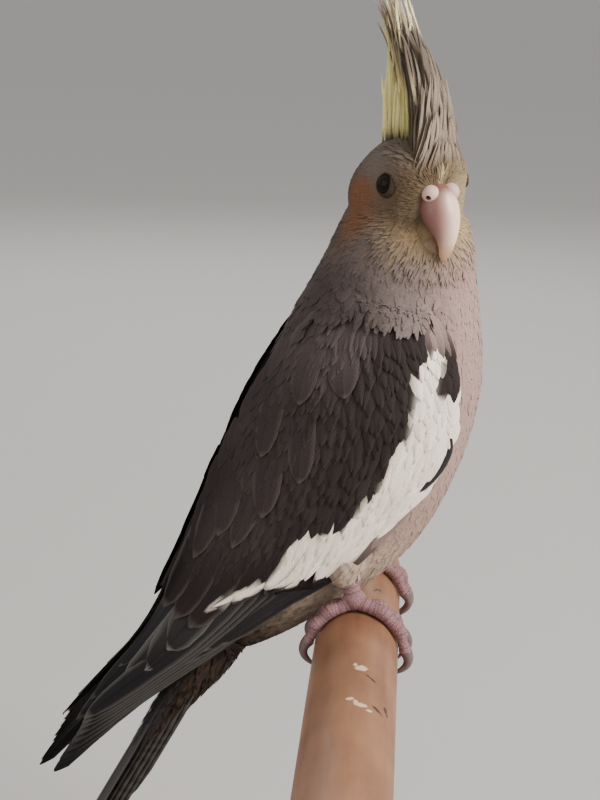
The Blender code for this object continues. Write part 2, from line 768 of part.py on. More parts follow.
def make_leg(name, side, swell=0.0):
    """Feathered thigh, which narrows down to the bare ankle."""
    hub = ankle_point(side, 0.0)
    path = [hub + (-12, -11 * side, 20), hub + (-8, -7.5 * side, 15), hub + (-5, -4.4 * side, 11),
            ankle_point(side, ANKLE_LENGTH + 4), ankle_point(side, ANKLE_LENGTH + GAP)]
    radii = np.array([7.5, 8.2, 8.0, 6.6, 4.4]) + swell
    return tube(name, path, radii, sides=16, domes=(0.5, 0.0))


def toe_radius(thick, s):
    """Toe's radius, with a pad under each joint."""
    return thick * (1.06 - 0.24 * s + 0.10 * math.cos(s * 6 * math.pi))


def make_foot(name, side):
    middle = side * STANCE
    centre = round_perch(HUB_ANGLE, middle, PERCH_RADIUS + GAP + HUB_RADIUS)
    hub = ellipsoid(name, centre, np.full(3, HUB_RADIUS), PERCH_TURN)
    ankle = [ankle_point(side, 0.0), ankle_point(side, ANKLE_LENGTH)]
    pieces = [tube("ankle", ankle, (2.7, 2.4), sides=8, domes=(0.0, 0.0))]
    for start, end, spread, thick in TOES.values():
        path, radii = [], []
        for s in np.linspace(0, 1, 8):
            radius = toe_radius(thick, s)
            place = middle + side * spread * math.sqrt(s)
            path.append(round_perch(start + (end - start) * s, place, PERCH_RADIUS + GAP + radius))
            radii.append(radius)
        pieces.append(tube("toe", path, radii, up=PERCH_TURN @ np.array([0.0, 1.0, 0.0]), domes=(0.5, 0.0)))
    return combine(hub, pieces, "UNION")


def make_claw(name, side, toe):
    start, end, spread, thick = TOES[toe]
    way = math.copysign(1.0, end - start)
    root = toe_radius(thick, 1.0) * 0.9
    middle = side * STANCE + side * spread
    first = end + way * math.degrees(GAP / (PERCH_RADIUS + thick))
    path, radii = [], []
    for s in np.linspace(0, 1, 5):
        radius = root * (1 - s) ** 0.8 + 0.28
        radii.append(radius)
        rise = 1.4 * math.sin(math.pi * min(1.0, s * 1.2))
        path.append(round_perch(first + way * CLAW_TURN * s, middle, PERCH_RADIUS + GAP + radius + rise))
    return tube(name, path, radii, up=PERCH_TURN @ np.array([0.0, 1.0, 0.0]), domes=(0.0, 0.8))


# Perch and stand


def make_perch(name, swell=0.0):
    bm = bmesh.new()
    radius = PERCH_RADIUS + swell
    length = PERCH_FAR - PERCH_NEAR
    turn = Matrix.Rotation(math.radians(90), 4, "X")
    place = Matrix.Translation((BIRD_PLACE[0], (PERCH_FAR + PERCH_NEAR) / 2, PERCH_HEIGHT))
    bmesh.ops.create_cone(bm, cap_ends=True, segments=36, radius1=radius, radius2=radius,
                          depth=length, matrix=place @ turn)
    rims = [e for e in bm.edges if abs(e.verts[0].co.y - e.verts[1].co.y) < MM]
    bmesh.ops.bevel(bm, geom=rims, offset=1.0, segments=1, profile=0.5, affect="EDGES", material=-1)
    return from_bmesh(name, bm)


def from_bmesh(name, bm):
    mesh = bpy.data.meshes.new(name)
    bmesh.ops.triangulate(bm, faces=bm.faces)
    bm.to_mesh(mesh)
    bm.free()
    made = bpy.data.objects.new(name, mesh)
    bpy.context.scene.collection.objects.link(made)
    return made


def upright(name, x, y, bottom, top, radius, segments=18):
    bm = bmesh.new()
    place = Matrix.Translation((x, y, (bottom + top) / 2))
    bmesh.ops.create_cone(bm, cap_ends=True, segments=segments, radius1=radius, radius2=radius,
                          depth=top - bottom, matrix=place)
    return from_bmesh(name, bm)


def make_base(name="stand_base"):
    bm = bmesh.new()
    size = Matrix.Diagonal((BASE_WIDTH, BASE_LENGTH, BASE_THICKNESS, 1.0))
    bmesh.ops.create_cube(bm, size=1.0, matrix=Matrix.Translation((0, 0, BASE_THICKNESS / 2)) @ size)
    corners = [e for e in bm.edges if abs(e.verts[0].co.z - e.verts[1].co.z) > 1]
    bmesh.ops.bevel(
        bm, geom=corners, offset=BASE_CORNER, segments=5, profile=0.5, affect="EDGES", material=-1
    )
    rim = [e for e in bm.edges if all(v.co.z > BASE_THICKNESS - 0.1 for v in e.verts)]
    bmesh.ops.bevel(bm, geom=rim, offset=BASE_EDGE, segments=2, profile=0.5, affect="EDGES", material=-1)
    base = from_bmesh(name, bm)
    bottom = BASE_THICKNESS - ROD_SOCKET
    sockets = [
        upright("socket", BIRD_PLACE[0], y, bottom, BASE_THICKNESS + 5, ROD_RADIUS + GAP)
        for y in ROD_PLACES.values()
    ]
    return combine(base, sockets, "DIFFERENCE")


def make_rod(name):
    bottom = BASE_THICKNESS - ROD_SOCKET + GAP
    rod = upright(name, BIRD_PLACE[0], ROD_PLACES[name], bottom, PERCH_HEIGHT, ROD_RADIUS)
    return clear_of(rod, make_perch("room", GAP))


# Assembly


def finish(objects, look, empty=None):
    """Gives each object its triangles, its material, its size in metres and its smooth shading."""
    for obj in objects:
        bm = bmesh.new()
        bm.from_mesh(obj.data)
        bmesh.ops.triangulate(bm, faces=bm.faces)
        bm.to_mesh(obj.data)
        bm.free()
        obj.data.transform(Matrix.Scale(MM, 4))
        obj.data.materials.clear()
        obj.data.materials.append(look)
        obj.data.shade_smooth()
        obj.data.set_sharp_from_angle(angle=math.radians(40))
        obj.parent = empty


def build():
    for obj in list(bpy.data.objects):
        bpy.data.objects.remove(obj)
    bird = bpy.data.objects.new("bird", None)
    bird.location = [value * MM for value in BIRD_PLACE]
    bird.rotation_euler = (0.0, 0.0, BODY_YAW)
    bpy.context.scene.collection.objects.link(bird)

    draw = np.random.default_rng(SEED)
    upper = make_bill("bill_upper", UPPER_BILL)
    lower = clear_of(make_bill("bill_lower", LOWER_BILL), make_bill("room", UPPER_BILL, GAP))
    cere = clear_of(make_cere("cere"), make_bill("room", UPPER_BILL, GAP), *make_nostrils())
    head = combine(make_skull("head"), [make_lids(-1), make_lids(1), *make_crest(draw)], "UNION")
    clear_of(
        head, make_bill("room", UPPER_BILL, GAP), make_bill("room", LOWER_BILL, GAP), make_cere("room", GAP),
        make_eye("room", -1, GAP), make_eye("room", 1, GAP),
    )
    neck = clear_of(make_neck(), make_bill("room", UPPER_BILL, GAP), make_bill("room", LOWER_BILL, GAP))
    torso, tail = make_torso(), make_tail("tail")
    eyes, legs, feet, claws, wings = [], [], [], [], []
    for name, side in (("right", -1), ("left", 1)):
        eyes.append(make_eye(f"eye_{name}", side))
        legs.append(clear_of(make_leg(f"leg_{name}", side), body_room()))
        feet.append(make_foot(f"foot_{name}", side))
        claws += [make_claw(f"claw_{name}_{toe}", side, toe) for toe in TOES]
        rooms = (body_room(), tail_room(), make_leg("room", side, GAP))
        wings.append(clear_of(make_wing(f"wing_{name}", side > 0, draw), *rooms))
    finish([head], material("face_feathers", (0.230, 0.190, 0.130), 0.8), bird)
    finish([neck, torso, *legs], material("body_feathers", (0.200, 0.175, 0.165), 0.8), bird)
    finish([*wings, tail], material("flight_feathers", (0.060, 0.050, 0.048), 0.75), bird)
    finish([upper, lower], material("bill_horn", (0.560, 0.370, 0.340), 0.4), bird)
    finish([cere], material("cere_skin", (0.740, 0.640, 0.630), 0.55), bird)
    finish(eyes, material("eye_gloss", (0.010, 0.007, 0.006), 0.05), bird)
    finish(feet, material("foot_skin", (0.420, 0.290, 0.320), 0.6), bird)
    finish(claws, material("claw_horn", (0.110, 0.075, 0.080), 0.35), bird)

    finish([make_perch("perch")], material("dowel_wood", (0.400, 0.240, 0.150), 0.5))
    finish([make_base()], material("base_wood", (0.090, 0.065, 0.050), 0.45))
    finish([make_rod(name) for name in ROD_PLACES], material("rod_steel", (0.550, 0.550, 0.560), 0.3, 1.0))


build()
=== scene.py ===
import math

import bmesh
import bpy
import numpy as np
from mathutils import Matrix, Vector
from mathutils.bvhtree import BVHTree


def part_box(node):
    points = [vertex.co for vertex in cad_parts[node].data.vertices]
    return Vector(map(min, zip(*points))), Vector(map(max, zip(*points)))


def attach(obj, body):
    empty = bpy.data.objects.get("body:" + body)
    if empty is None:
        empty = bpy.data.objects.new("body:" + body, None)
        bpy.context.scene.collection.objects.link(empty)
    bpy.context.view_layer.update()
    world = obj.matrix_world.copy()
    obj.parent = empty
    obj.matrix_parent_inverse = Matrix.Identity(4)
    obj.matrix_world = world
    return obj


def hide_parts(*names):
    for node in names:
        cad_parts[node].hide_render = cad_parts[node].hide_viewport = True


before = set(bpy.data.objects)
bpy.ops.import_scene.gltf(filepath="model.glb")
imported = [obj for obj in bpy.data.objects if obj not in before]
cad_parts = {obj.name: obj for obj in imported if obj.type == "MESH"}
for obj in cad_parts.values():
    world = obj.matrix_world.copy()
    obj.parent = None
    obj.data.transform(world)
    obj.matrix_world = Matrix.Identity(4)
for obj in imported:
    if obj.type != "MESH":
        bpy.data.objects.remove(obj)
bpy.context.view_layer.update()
print("frame loaded")

draw = np.random.default_rng(11)

# The bird is modelled in millimetres: +X the way its breast faces, +Y its left, +Z up, from the dowel's axis
bird = {"place": (0.012, 0.044, 0.132), "yaw": 10.0}
toWorld = (
    Matrix.Translation(bird["place"])
    @ Matrix.Rotation(math.radians(bird["yaw"]), 4, "Z")
    @ Matrix.Scale(0.001, 4)
)


def unit(vectors):
    vectors = np.asarray(vectors, float)
    return vectors / np.maximum(np.linalg.norm(vectors, axis=-1, keepdims=True), 1e-9)


def turnAbout(axis, degrees):
    return np.array(Matrix.Rotation(math.radians(degrees), 3, axis))


def along(stations, t):  # smooth curve through the stations, with t counted in stations
    p = np.asarray(stations, float)
    t = np.asarray(t, float)
    i = np.clip(np.floor(t).astype(int), 0, len(p) - 2)
    f = (t - i)[..., None]
    before, here, after, beyond = p[np.maximum(i - 1, 0)], p[i], p[i + 1], p[np.minimum(i + 2, len(p) - 1)]
    leave, arrive = (after - before) / 2, (beyond - here) / 2
    return (
        (2 * f**3 - 3 * f**2 + 1) * here
        + (f**3 - 2 * f**2 + f) * leave
        + (3 * f**2 - 2 * f**3) * after
        + (f**3 - f**2) * arrive
    )


def ramp(values, start, end):  # 0 at start, 1 at end, eased
    x = np.clip((np.asarray(values, float) - start) / (end - start), 0, 1)
    return x * x * (3 - 2 * x)


def mixColour(a, b, share):
    share = np.asarray(share, float)[..., None]
    return np.asarray(a) * (1 - share) + np.asarray(b) * share


# Pieces and materials


def keepPiece(name, mesh, finish, replaced=()):
    piece = bpy.data.objects.new(name, mesh)
    bpy.context.scene.collection.objects.link(piece)
    mesh.materials.clear()
    mesh.materials.append(finish)
    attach(piece, "root")
    if replaced:
        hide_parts(*replaced)
    return piece


def keepBirdPiece(name, mesh, finish, replaced=()):  # a mesh in the bird's millimetres
    mesh.transform(toWorld)
    return keepPiece(name, mesh, finish, replaced)


def meshOf(bm, name, place=None, outward=False):
    if outward:
        bmesh.ops.recalc_face_normals(bm, faces=bm.faces)
    if place is not None:
        bmesh.ops.transform(bm, matrix=place, verts=bm.verts)
    mesh = bpy.data.meshes.new(name)
    bm.to_mesh(mesh)
    bm.free()
    mesh.shade_smooth()
    return mesh


def ringTube(bm, rings, caps=(True, True)):  # circles bent to the rings and bridged one to the next
    loops = []
    for points in rings:
        made = bmesh.ops.create_circle(bm, segments=len(points), radius=1.0)["verts"]
        for vert, point in zip(made, points):
            vert.co = point
        loops.append(list({edge for vert in made for edge in vert.link_edges}))
    for here, after in zip(loops, loops[1:]):
        bmesh.ops.bridge_loops(bm, edges=here + after)
    for loop, cap in zip((loops[0], loops[-1]), caps):
        if cap:
            face = bmesh.ops.contextual_create(bm, geom=loop)["faces"]
            bmesh.ops.poke(bm, faces=face)


def tubeRings(path, radii, sides, up=(0.0, 0.0, 1.0)):  # circles across a path
    path = np.asarray(path, float)
    ways = unit(np.gradient(path, axis=0))
    turns = np.arange(sides) * 2 * math.pi / sides
    rings = []
    for point, way, radius in zip(path, ways, radii):
        across = unit(np.cross(way, up))
        rise = np.cross(across, way)
        rings.append(point + radius * (np.cos(turns)[:, None] * across + np.sin(turns)[:, None] * rise))
    return rings


def plainFinish(name, colour, roughness, metallic=0.0, coat=0.0):
    made = bpy.data.materials.new(name)
    made.use_nodes = True
    shader = made.node_tree.nodes["Principled BSDF"]
    shader.inputs["Base Color"].default_value = (*colour, 1.0)
    shader.inputs["Roughness"].default_value = roughness
    shader.inputs["Metallic"].default_value = metallic
    shader.inputs["Coat Weight"].default_value = coat
    return made


def addNode(tree, kind, **values):
    node = tree.nodes.new(kind)
    for key, value in values.items():
        if key in node.inputs:
            node.inputs[key].default_value = value
        else:
            setattr(node, key, value)
    return node


def wire(tree, *links):  # each link: a node and its output, then a node and its input
    for source, output, target, entry in links:
        tree.links.new(source.outputs[output], target.inputs[entry])


def newGroup(name, entries, results):  # node group with named sockets, and its two end nodes
    group = bpy.data.node_groups.new(name, "ShaderNodeTree")
    for way, sockets in (("INPUT", entries), ("OUTPUT", results)):
        for socket in sockets:
            kind = "NodeSocketColor" if socket == "Color" else "NodeSocketFloat"
            group.interface.new_socket(name=socket, in_out=way, socket_type=kind)
    entry = addNode(group, "NodeGroupInput") if entries else None
    return group, entry, addNode(group, "NodeGroupOutput")


def makeMottle():  # group that varies a colour with two sizes of soft noise, and gives a height
    group, entry, leave = newGroup("mottle", ("Color", "Fine", "Broad", "Amount"), ("Color", "Height"))
    place = addNode(group, "ShaderNodeTexCoord")
    fine = addNode(group, "ShaderNodeTexNoise", Detail=5.0)
    broad = addNode(group, "ShaderNodeTexNoise", Detail=3.0)
    both = addNode(group, "ShaderNodeMath", operation="ADD")
    shift = addNode(group, "ShaderNodeMath", operation="SUBTRACT")
    scaled = addNode(group, "ShaderNodeMath", operation="MULTIPLY_ADD")
    tone = addNode(group, "ShaderNodeVectorMath", operation="SCALE")
    shift.inputs[1].default_value = 1.0
    scaled.inputs[2].default_value = 1.0
    wire(
        group,
        (place, "Object", fine, "Vector"), (place, "Object", broad, "Vector"),
        (entry, "Fine", fine, "Scale"), (entry, "Broad", broad, "Scale"),
        (fine, "Fac", both, 0), (broad, "Fac", both, 1), (both, 0, shift, 0), (shift, 0, scaled, 0),
        (entry, "Amount", scaled, 1), (entry, "Color", tone, 0), (scaled, 0, tone, "Scale"),
        (tone, 0, leave, "Color"), (fine, "Fac", leave, "Height"),
    )
    return group


def makeScales():  # group that draws a net of furrows over a colour, with painted shade in the furrows, and gives a height
    group, entry, leave = newGroup("scales", ("Color", "Scale"), ("Color", "Height"))
    place = addNode(group, "ShaderNodeTexCoord")
    net = addNode(group, "ShaderNodeTexVoronoi", feature="DISTANCE_TO_EDGE", Randomness=0.8)
    plate = addNode(group, "ShaderNodeMapRange", interpolation_type="SMOOTHSTEP")
    shade = addNode(group, "ShaderNodeMath", operation="MULTIPLY_ADD")
    tone = addNode(group, "ShaderNodeVectorMath", operation="SCALE")
    plate.inputs["From Max"].default_value = 0.22
    shade.inputs[1].default_value = 0.28
    shade.inputs[2].default_value = 0.80
    wire(
        group,
        (place, "Object", net, "Vector"), (entry, "Scale", net, "Scale"),
        (net, "Distance", plate, "Value"), (plate, "Result", shade, 0),
        (entry, "Color", tone, 0), (shade, 0, tone, "Scale"),
        (tone, 0, leave, "Color"), (plate, "Result", leave, "Height"),
    )
    return group


def makeBarbs():  # group for feathers: thin slanting barbs on both sides of the shaft
    group, entry, leave = newGroup("barbs", ("Color", "Spacing", "Amount"), ("Color", "Height"))
    place = addNode(group, "ShaderNodeUVMap", uv_map="vane")
    parts = addNode(group, "ShaderNodeSeparateXYZ")
    side = addNode(group, "ShaderNodeMath", operation="ABSOLUTE")
    slant = addNode(group, "ShaderNodeMath", operation="MULTIPLY_ADD")
    wander = addNode(group, "ShaderNodeTexNoise", Scale=1.3, Detail=2.0)
    bend = addNode(group, "ShaderNodeMath", operation="MULTIPLY_ADD")
    count = addNode(group, "ShaderNodeMath", operation="MULTIPLY")
    wave = addNode(group, "ShaderNodeMath", operation="SINE")
    tone = addNode(group, "ShaderNodeMath", operation="MULTIPLY_ADD")
    scaled = addNode(group, "ShaderNodeVectorMath", operation="SCALE")
    slant.inputs[1].default_value = -1.1
    bend.inputs[1].default_value = 1.6
    tone.inputs[2].default_value = 1.0
    wire(
        group,
        (place, "UV", parts, 0), (place, "UV", wander, "Vector"), (parts, "X", side, 0),
        (side, 0, slant, 0), (parts, "Y", slant, 2), (wander, "Fac", bend, 0), (slant, 0, bend, 2),
        (bend, 0, count, 0), (entry, "Spacing", count, 1), (count, 0, wave, 0),
        (wave, 0, tone, 0), (entry, "Amount", tone, 1),
        (entry, "Color", scaled, 0), (tone, 0, scaled, "Scale"),
        (scaled, 0, leave, "Color"), (wave, 0, leave, "Height"),
    )
    return group


mottle = makeMottle()
scales = makeScales()
barbs = makeBarbs()
reliefDepth = {"skin": 0.0002, "feather": 0.0001}  # metres


def useGroup(made, group, bump, depth):  # a group's colour and height go to the shader
    tree = made.node_tree
    shader = tree.nodes["Principled BSDF"]
    relief = addNode(tree, "ShaderNodeBump", Strength=bump, Distance=depth)
    wire(tree, (group, "Color", shader, "Base Color"), (group, "Height", relief, "Height"),
         (relief, "Normal", shader, "Normal"))
    return made


def mottledFinish(name, colour, roughness, fine, broad, amount, bump, coat=0.0, cells=0.0):
    made = plainFinish(name, colour or (0.5, 0.5, 0.5), roughness, coat=coat)
    tree = made.node_tree
    group = addNode(tree, "ShaderNodeGroup", node_tree=mottle, Fine=fine, Broad=broad, Amount=amount)
    if colour:
        group.inputs["Color"].default_value = (*colour, 1.0)
    else:  # the colour is the mesh's own
        tint = addNode(tree, "ShaderNodeAttribute", attribute_name="tint")
        wire(tree, (tint, "Color", group, "Color"))
    if cells:  # small scales with painted shade in the furrows between them
        net = addNode(tree, "ShaderNodeGroup", node_tree=scales, Scale=cells)
        wire(tree, (group, "Color", net, "Color"))
        group = net
    return useGroup(made, group, bump, reliefDepth["skin"])


def featherFinish(name, roughness, spacing, amount, bump, gloss=0.1):  # colour from the tint attribute
    made = plainFinish(name, (0.2, 0.2, 0.2), roughness)
    tree = made.node_tree
    tree.nodes["Principled BSDF"].inputs["Specular IOR Level"].default_value = gloss
    tint = addNode(tree, "ShaderNodeAttribute", attribute_name="tint")
    group = addNode(tree, "ShaderNodeGroup", node_tree=barbs, Spacing=spacing, Amount=amount)
    wire(tree, (tint, "Color", group, "Color"))
    return useGroup(made, group, bump, reliefDepth["feather"])


finishes = {
    "down": featherFinish("soft feathers", 0.9, 5.0, 0.06, 0.12),
    "soft": featherFinish("covert feathers", 0.85, 6.0, 0.10, 0.25),
    "vane": featherFinish("flight feathers", 0.62, 8.0, 0.12, 0.35, gloss=0.16),
    "crest": featherFinish("crest feathers", 0.85, 8.0, 0.12, 0.25),
    "bill": mottledFinish("bill horn", None, 0.38, 900.0, 200.0, 0.16, 0.12, coat=0.1),
    "cere": mottledFinish("cere skin", None, 0.55, 1500.0, 300.0, 0.15, 0.3),
    "lid": mottledFinish("eyelid skin", (0.048, 0.034, 0.024), 0.85, 1800.0, 400.0, 0.4, 0.5),
    "eye": plainFinish("eye", (0.006, 0.004, 0.003), 0.05),
    "foot": mottledFinish("foot skin", None, 0.6, 1600.0, 300.0, 0.50, 0.6, cells=1300.0),
    "claw": mottledFinish("claw horn", (0.13, 0.085, 0.08), 0.35, 900.0, 250.0, 0.5, 0.2, coat=0.2),
    "rod": plainFinish("brushed steel", (0.55, 0.55, 0.56), 0.32, metallic=1.0),
    "base": mottledFinish("stained wood", (0.075, 0.052, 0.040), 0.45, 300.0, 40.0, 0.5, 0.1),
}

dimGloss = 0.12

for key in ("eye", "lid"):
    finishes[key].node_tree.nodes["Principled BSDF"].inputs["Specular IOR Level"].default_value = dimGloss

# Surfaces of the bird

body = {
    "stations": (  # from the tail's root to the nape: back (x, z), belly (x, z), half width
        ((-47.0, 2.0), (-34.0, -7.5), 6.0),
        ((-46.0, 14.0), (-25.0, -3.5), 9.5),
        ((-43.0, 28.0), (-14.0, 3.0), 14.0),
        ((-42.0, 43.0), (4.0, 15.5), 19.0),
        ((-38.5, 59.0), (18.5, 31.0), 22.5),
        ((-34.0, 75.0), (29.0, 53.0), 24.0),
        ((-28.5, 89.0), (34.0, 75.0), 23.5),
        ((-22.5, 101.0), (33.5, 92.0), 21.5),
        ((-17.5, 111.0), (31.5, 105.0), 19.6),
        ((-13.5, 119.0), (30.0, 116.0), 18.4),
        ((-9.5, 128.0), (27.0, 127.0), 17.4),
    ),
    "fullness": 0.045,
    "backFlatness": 0.11,
    "coatDepth": 1.1,
}
head = {
    "yaw": -65.0,
    "pitch": 8.0,
    "roll": 3.0,
    "origin": np.array((9.2, -3.8, 136.1)),
    "centre": np.array((-3.0, 0.0, -4.0)),
    "front": 17.0,
    "back": 18.5,
    "up": 18.0,
    "down": 15.0,
    "halfWidth": 16.0,
    "coatDepth": 0.8,
    "billRoot": np.array((12.0, 0.0, -3.5)),
    "cheek": np.array((-1.8, 15.0, -4.4)),
    "cheekSize": (6.7, 8.6),
    "tuft": np.array((15.0, 0.0, 6.6)),
}
headTurn = turnAbout("Z", head["yaw"]) @ turnAbout("Y", head["pitch"]) @ turnAbout("X", head["roll"])


def fromHead(points):
    return np.asarray(points, float) @ headTurn.T + head["origin"]


def intoHead(points):
    return (np.asarray(points, float) - head["origin"]) @ headTurn


def bodyRing(t, inset=0.0, count=40):  # a cross section of the body, with t counted in stations
    values = along([(*back, *belly, wide) for back, belly, wide in body["stations"]], t)
    back = np.array([values[0], 0.0, values[1]])
    belly = np.array([values[2], 0.0, values[3]])
    angles = np.arange(count) * 2 * math.pi / count
    flat = body["backFlatness"] * min(1.0, max(0.0, 7.2 - t)) * (np.cos(angles) > 0)
    full = (1 + (body["fullness"] - flat) * np.sin(2 * angles) ** 2)[:, None]
    depth = np.cos(angles)[:, None] * ((back - belly) / 2 - inset * unit(back - belly))
    width = np.sin(angles)[:, None] * np.array([0.0, values[4] - inset, 0.0])
    return (back + belly) / 2 + full * (depth + width)


def skullPoint(direction, inset=0.0):  # the head's surface in a direction from its middle
    d = unit(direction)
    ahead = 0.5 + 0.5 * math.tanh(3 * d[0])
    length = head["back"] + (head["front"] - head["back"]) * ahead - inset
    height = (head["up"] if d[2] > 0 else head["down"]) - inset
    square = 2.0 + 0.6 * ahead
    peak = 1.6 + 1.7 * ahead if d[2] > 0 else 2.1
    level = (abs(d[0]) / length) ** square + (abs(d[1]) / (head["halfWidth"] - inset)) ** square
    level = level ** (1 / square)
    p = d / (level**peak + (abs(d[2]) / height) ** peak) ** (1 / peak)
    sideways = math.copysign(min(1.0, abs(d[1]) * 2), d[1])
    eye = math.exp(-((p[0] - 6.0) ** 2 + (p[2] - 6.0) ** 2) / 40.0)
    forehead = math.exp(-((p[0] - 12.0) ** 2 + (p[2] - 12.0) ** 2) / 40.0)
    p[1] -= sideways * 1.2 * eye
    return p + np.array([2.2, 0.0, 0.8]) * forehead + head["centre"]


wing = {  # edges and pale patch from the shoulder to the tip; the far wing is shifted as well as mirrored
    "lower": (
        (15.0, 20.0, 104.0), (20.0, 26.0, 90.0), (21.0, 27.5, 76.0), (19.0, 27.0, 64.0), (12.0, 26.0, 50.0),
        (2.0, 24.0, 37.0), (-12.0, 20.5, 20.5), (-27.0, 17.0, 9.0), (-46.0, 14.0, -6.5),
        (-69.0, 11.0, -24.0), (-93.5, 9.5, -47.0),
    ),
    "upper": (
        (-13.0, 14.0, 107.0), (-24.5, 9.0, 95.0), (-34.5, 6.0, 80.0), (-41.5, 4.0, 65.0), (-47.0, 3.0, 51.0),
        (-52.5, 2.5, 36.0), (-60.0, 2.5, 18.0), (-68.5, 2.5, 2.0), (-78.0, 3.5, -10.0),
        (-88.0, 5.5, -23.0), (-97.5, 7.0, -37.0),
    ),
    "bulge": (27.0, 36.0, 41.0, 38.5, 34.0, 29.0, 23.5, 18.8, 14.5, 11.0, 8.5),
    "farShift": np.array((-5.0, 0.0, -3.0)),
    "whiteInner": (
        (0.075, 0.09), (0.09, 0.13), (0.11, 0.18), (0.165, 0.18), (0.215, 0.18), (0.29, 0.165),
        (0.305, 0.20), (0.38, 0.175), (0.435, 0.20), (0.475, 0.20), (0.485, 0.32), (0.505, 0.37),
        (0.56, 0.34), (0.585, 0.34), (0.61, 0.46), (0.645, 0.53),
    ),
    "whiteOuter": (
        (0.075, 0.09), (0.09, 0.065), (0.115, 0.085), (0.165, 0.095), (0.178, 0.01), (0.22, 0.0),
        (0.365, -0.02), (0.415, -0.02), (0.45, 0.0), (0.485, 0.03), (0.53, 0.05), (0.56, 0.07),
        (0.585, 0.13), (0.60, 0.32), (0.625, 0.42), (0.645, 0.53),
    ),
}


def wingPoint(u, v):  # right wing: u from shoulder to tip, v from lower to upper edge
    t = np.clip(np.asarray(u, float), 0.0, 1.0) * (len(wing["lower"]) - 1)
    low, high = along(wing["lower"], t), along(wing["upper"], t)
    knee = 0.31 * low + 0.69 * high
    knee[..., 1] = along(np.array(wing["bulge"])[:, None], t)[..., 0]
    v = np.asarray(v, float)[..., None]
    p = (1 - v) ** 2 * low + 2 * v * (1 - v) * knee + v**2 * high
    return p * np.array([1.0, -1.0, 1.0])


def wingSlopes(u, v, step=0.004):  # change of place for each unit of u and of v, and the way outwards
    u, v = np.clip(u, step, 1 - step), np.asarray(v, float)
    du = (wingPoint(u + step, v) - wingPoint(u - step, v)) / (2 * step)
    dv = (wingPoint(u, v + step) - wingPoint(u, v - step)) / (2 * step)
    normal = unit(np.cross(du, dv))
    return du, dv, normal * np.where(normal[..., 1:2] < 0, 1.0, -1.0)


def wingSurface(u, v, height):  # a place over the wing, with the height eased off towards its edges
    inside = np.clip(np.minimum(v, 1 - v) / 0.25, 0, None) + np.clip(np.asarray(u) - 0.5, 0, None) / 0.15
    drawn = 0.4 + 0.6 * np.clip(inside, 0, 1)
    return wingPoint(u, v) + wingSlopes(u, v)[2] * (height * drawn)[..., None]


def mirrored(points, left):  # right wing's points as they are, or those of the left one
    if not left:
        return points
    flipped = points * np.array([1.0, -1.0, 1.0])
    reach = np.clip((60.0 - points[..., 2]) / 100.0, 0.0, 1.0)[..., None]
    return flipped + reach * wing["farShift"]


tail = {
    "base": np.array((-36.7, 0.0, 15.0)),
    "slope": math.radians(61.3),
    "length": 155.0,
    "rootReach": 30.0,
}
tailTurn = np.array([
    [-math.cos(tail["slope"]), 0.0, -math.sin(tail["slope"])],
    [0.0, 1.0, 0.0],
    [-math.sin(tail["slope"]), 0.0, math.cos(tail["slope"])],
])


def fromTail(points):
    return np.asarray(points, float) @ tailTurn.T + tail["base"]


# Markings, in linear colour

plumage = {
    "back": (0.063, 0.049, 0.046),
    "side": (0.175, 0.138, 0.128),
    "breast": (0.345, 0.239, 0.213),
    "belly": (0.302, 0.200, 0.158),
    # undertail colours: the pale undertail and its bars made lighter with painted light, standing in for
    # light from the floor on the shaded underside
    "ventWithPaintedLight": (0.410, 0.315, 0.245),
    "ventBarWithPaintedLight": (0.230, 0.172, 0.132),
    "crown": (0.160, 0.130, 0.108),
    "nape": (0.066, 0.048, 0.044),
    "face": (0.118, 0.081, 0.051),
    "yellow": (0.345, 0.250, 0.135),
    "pale": (0.500, 0.395, 0.235),
    "cheek": (0.185, 0.086, 0.046),
    "wingTop": (0.092, 0.072, 0.070),
    "wingDark": (0.044, 0.033, 0.033),
    # painted shade for the wing's front part, which faces the window light
    "wingFrontPaintedShade": (0.030, 0.023, 0.022),
    "wingEdge": (0.100, 0.080, 0.076),
    "flight": (0.009, 0.008, 0.009),
    "secondary": (0.010, 0.009, 0.009),
    "flightEdge": (0.150, 0.138, 0.125),
    "white": (0.920, 0.830, 0.710),
    "tailTop": (0.048, 0.046, 0.046),
    "tailDark": (0.036, 0.031, 0.028),
    "tailBar": (0.130, 0.108, 0.090),
    "underBar": (0.052, 0.036, 0.027),
    "underDark": (0.017, 0.012, 0.010),
    "crestGrey": (0.285, 0.228, 0.178),
    # crest yellow made brighter than the feathers' own yellow: painted light standing in for light through
    # the thin feathers
    "crestYellowWithPaintedLight": (0.950, 0.850, 0.480),
}


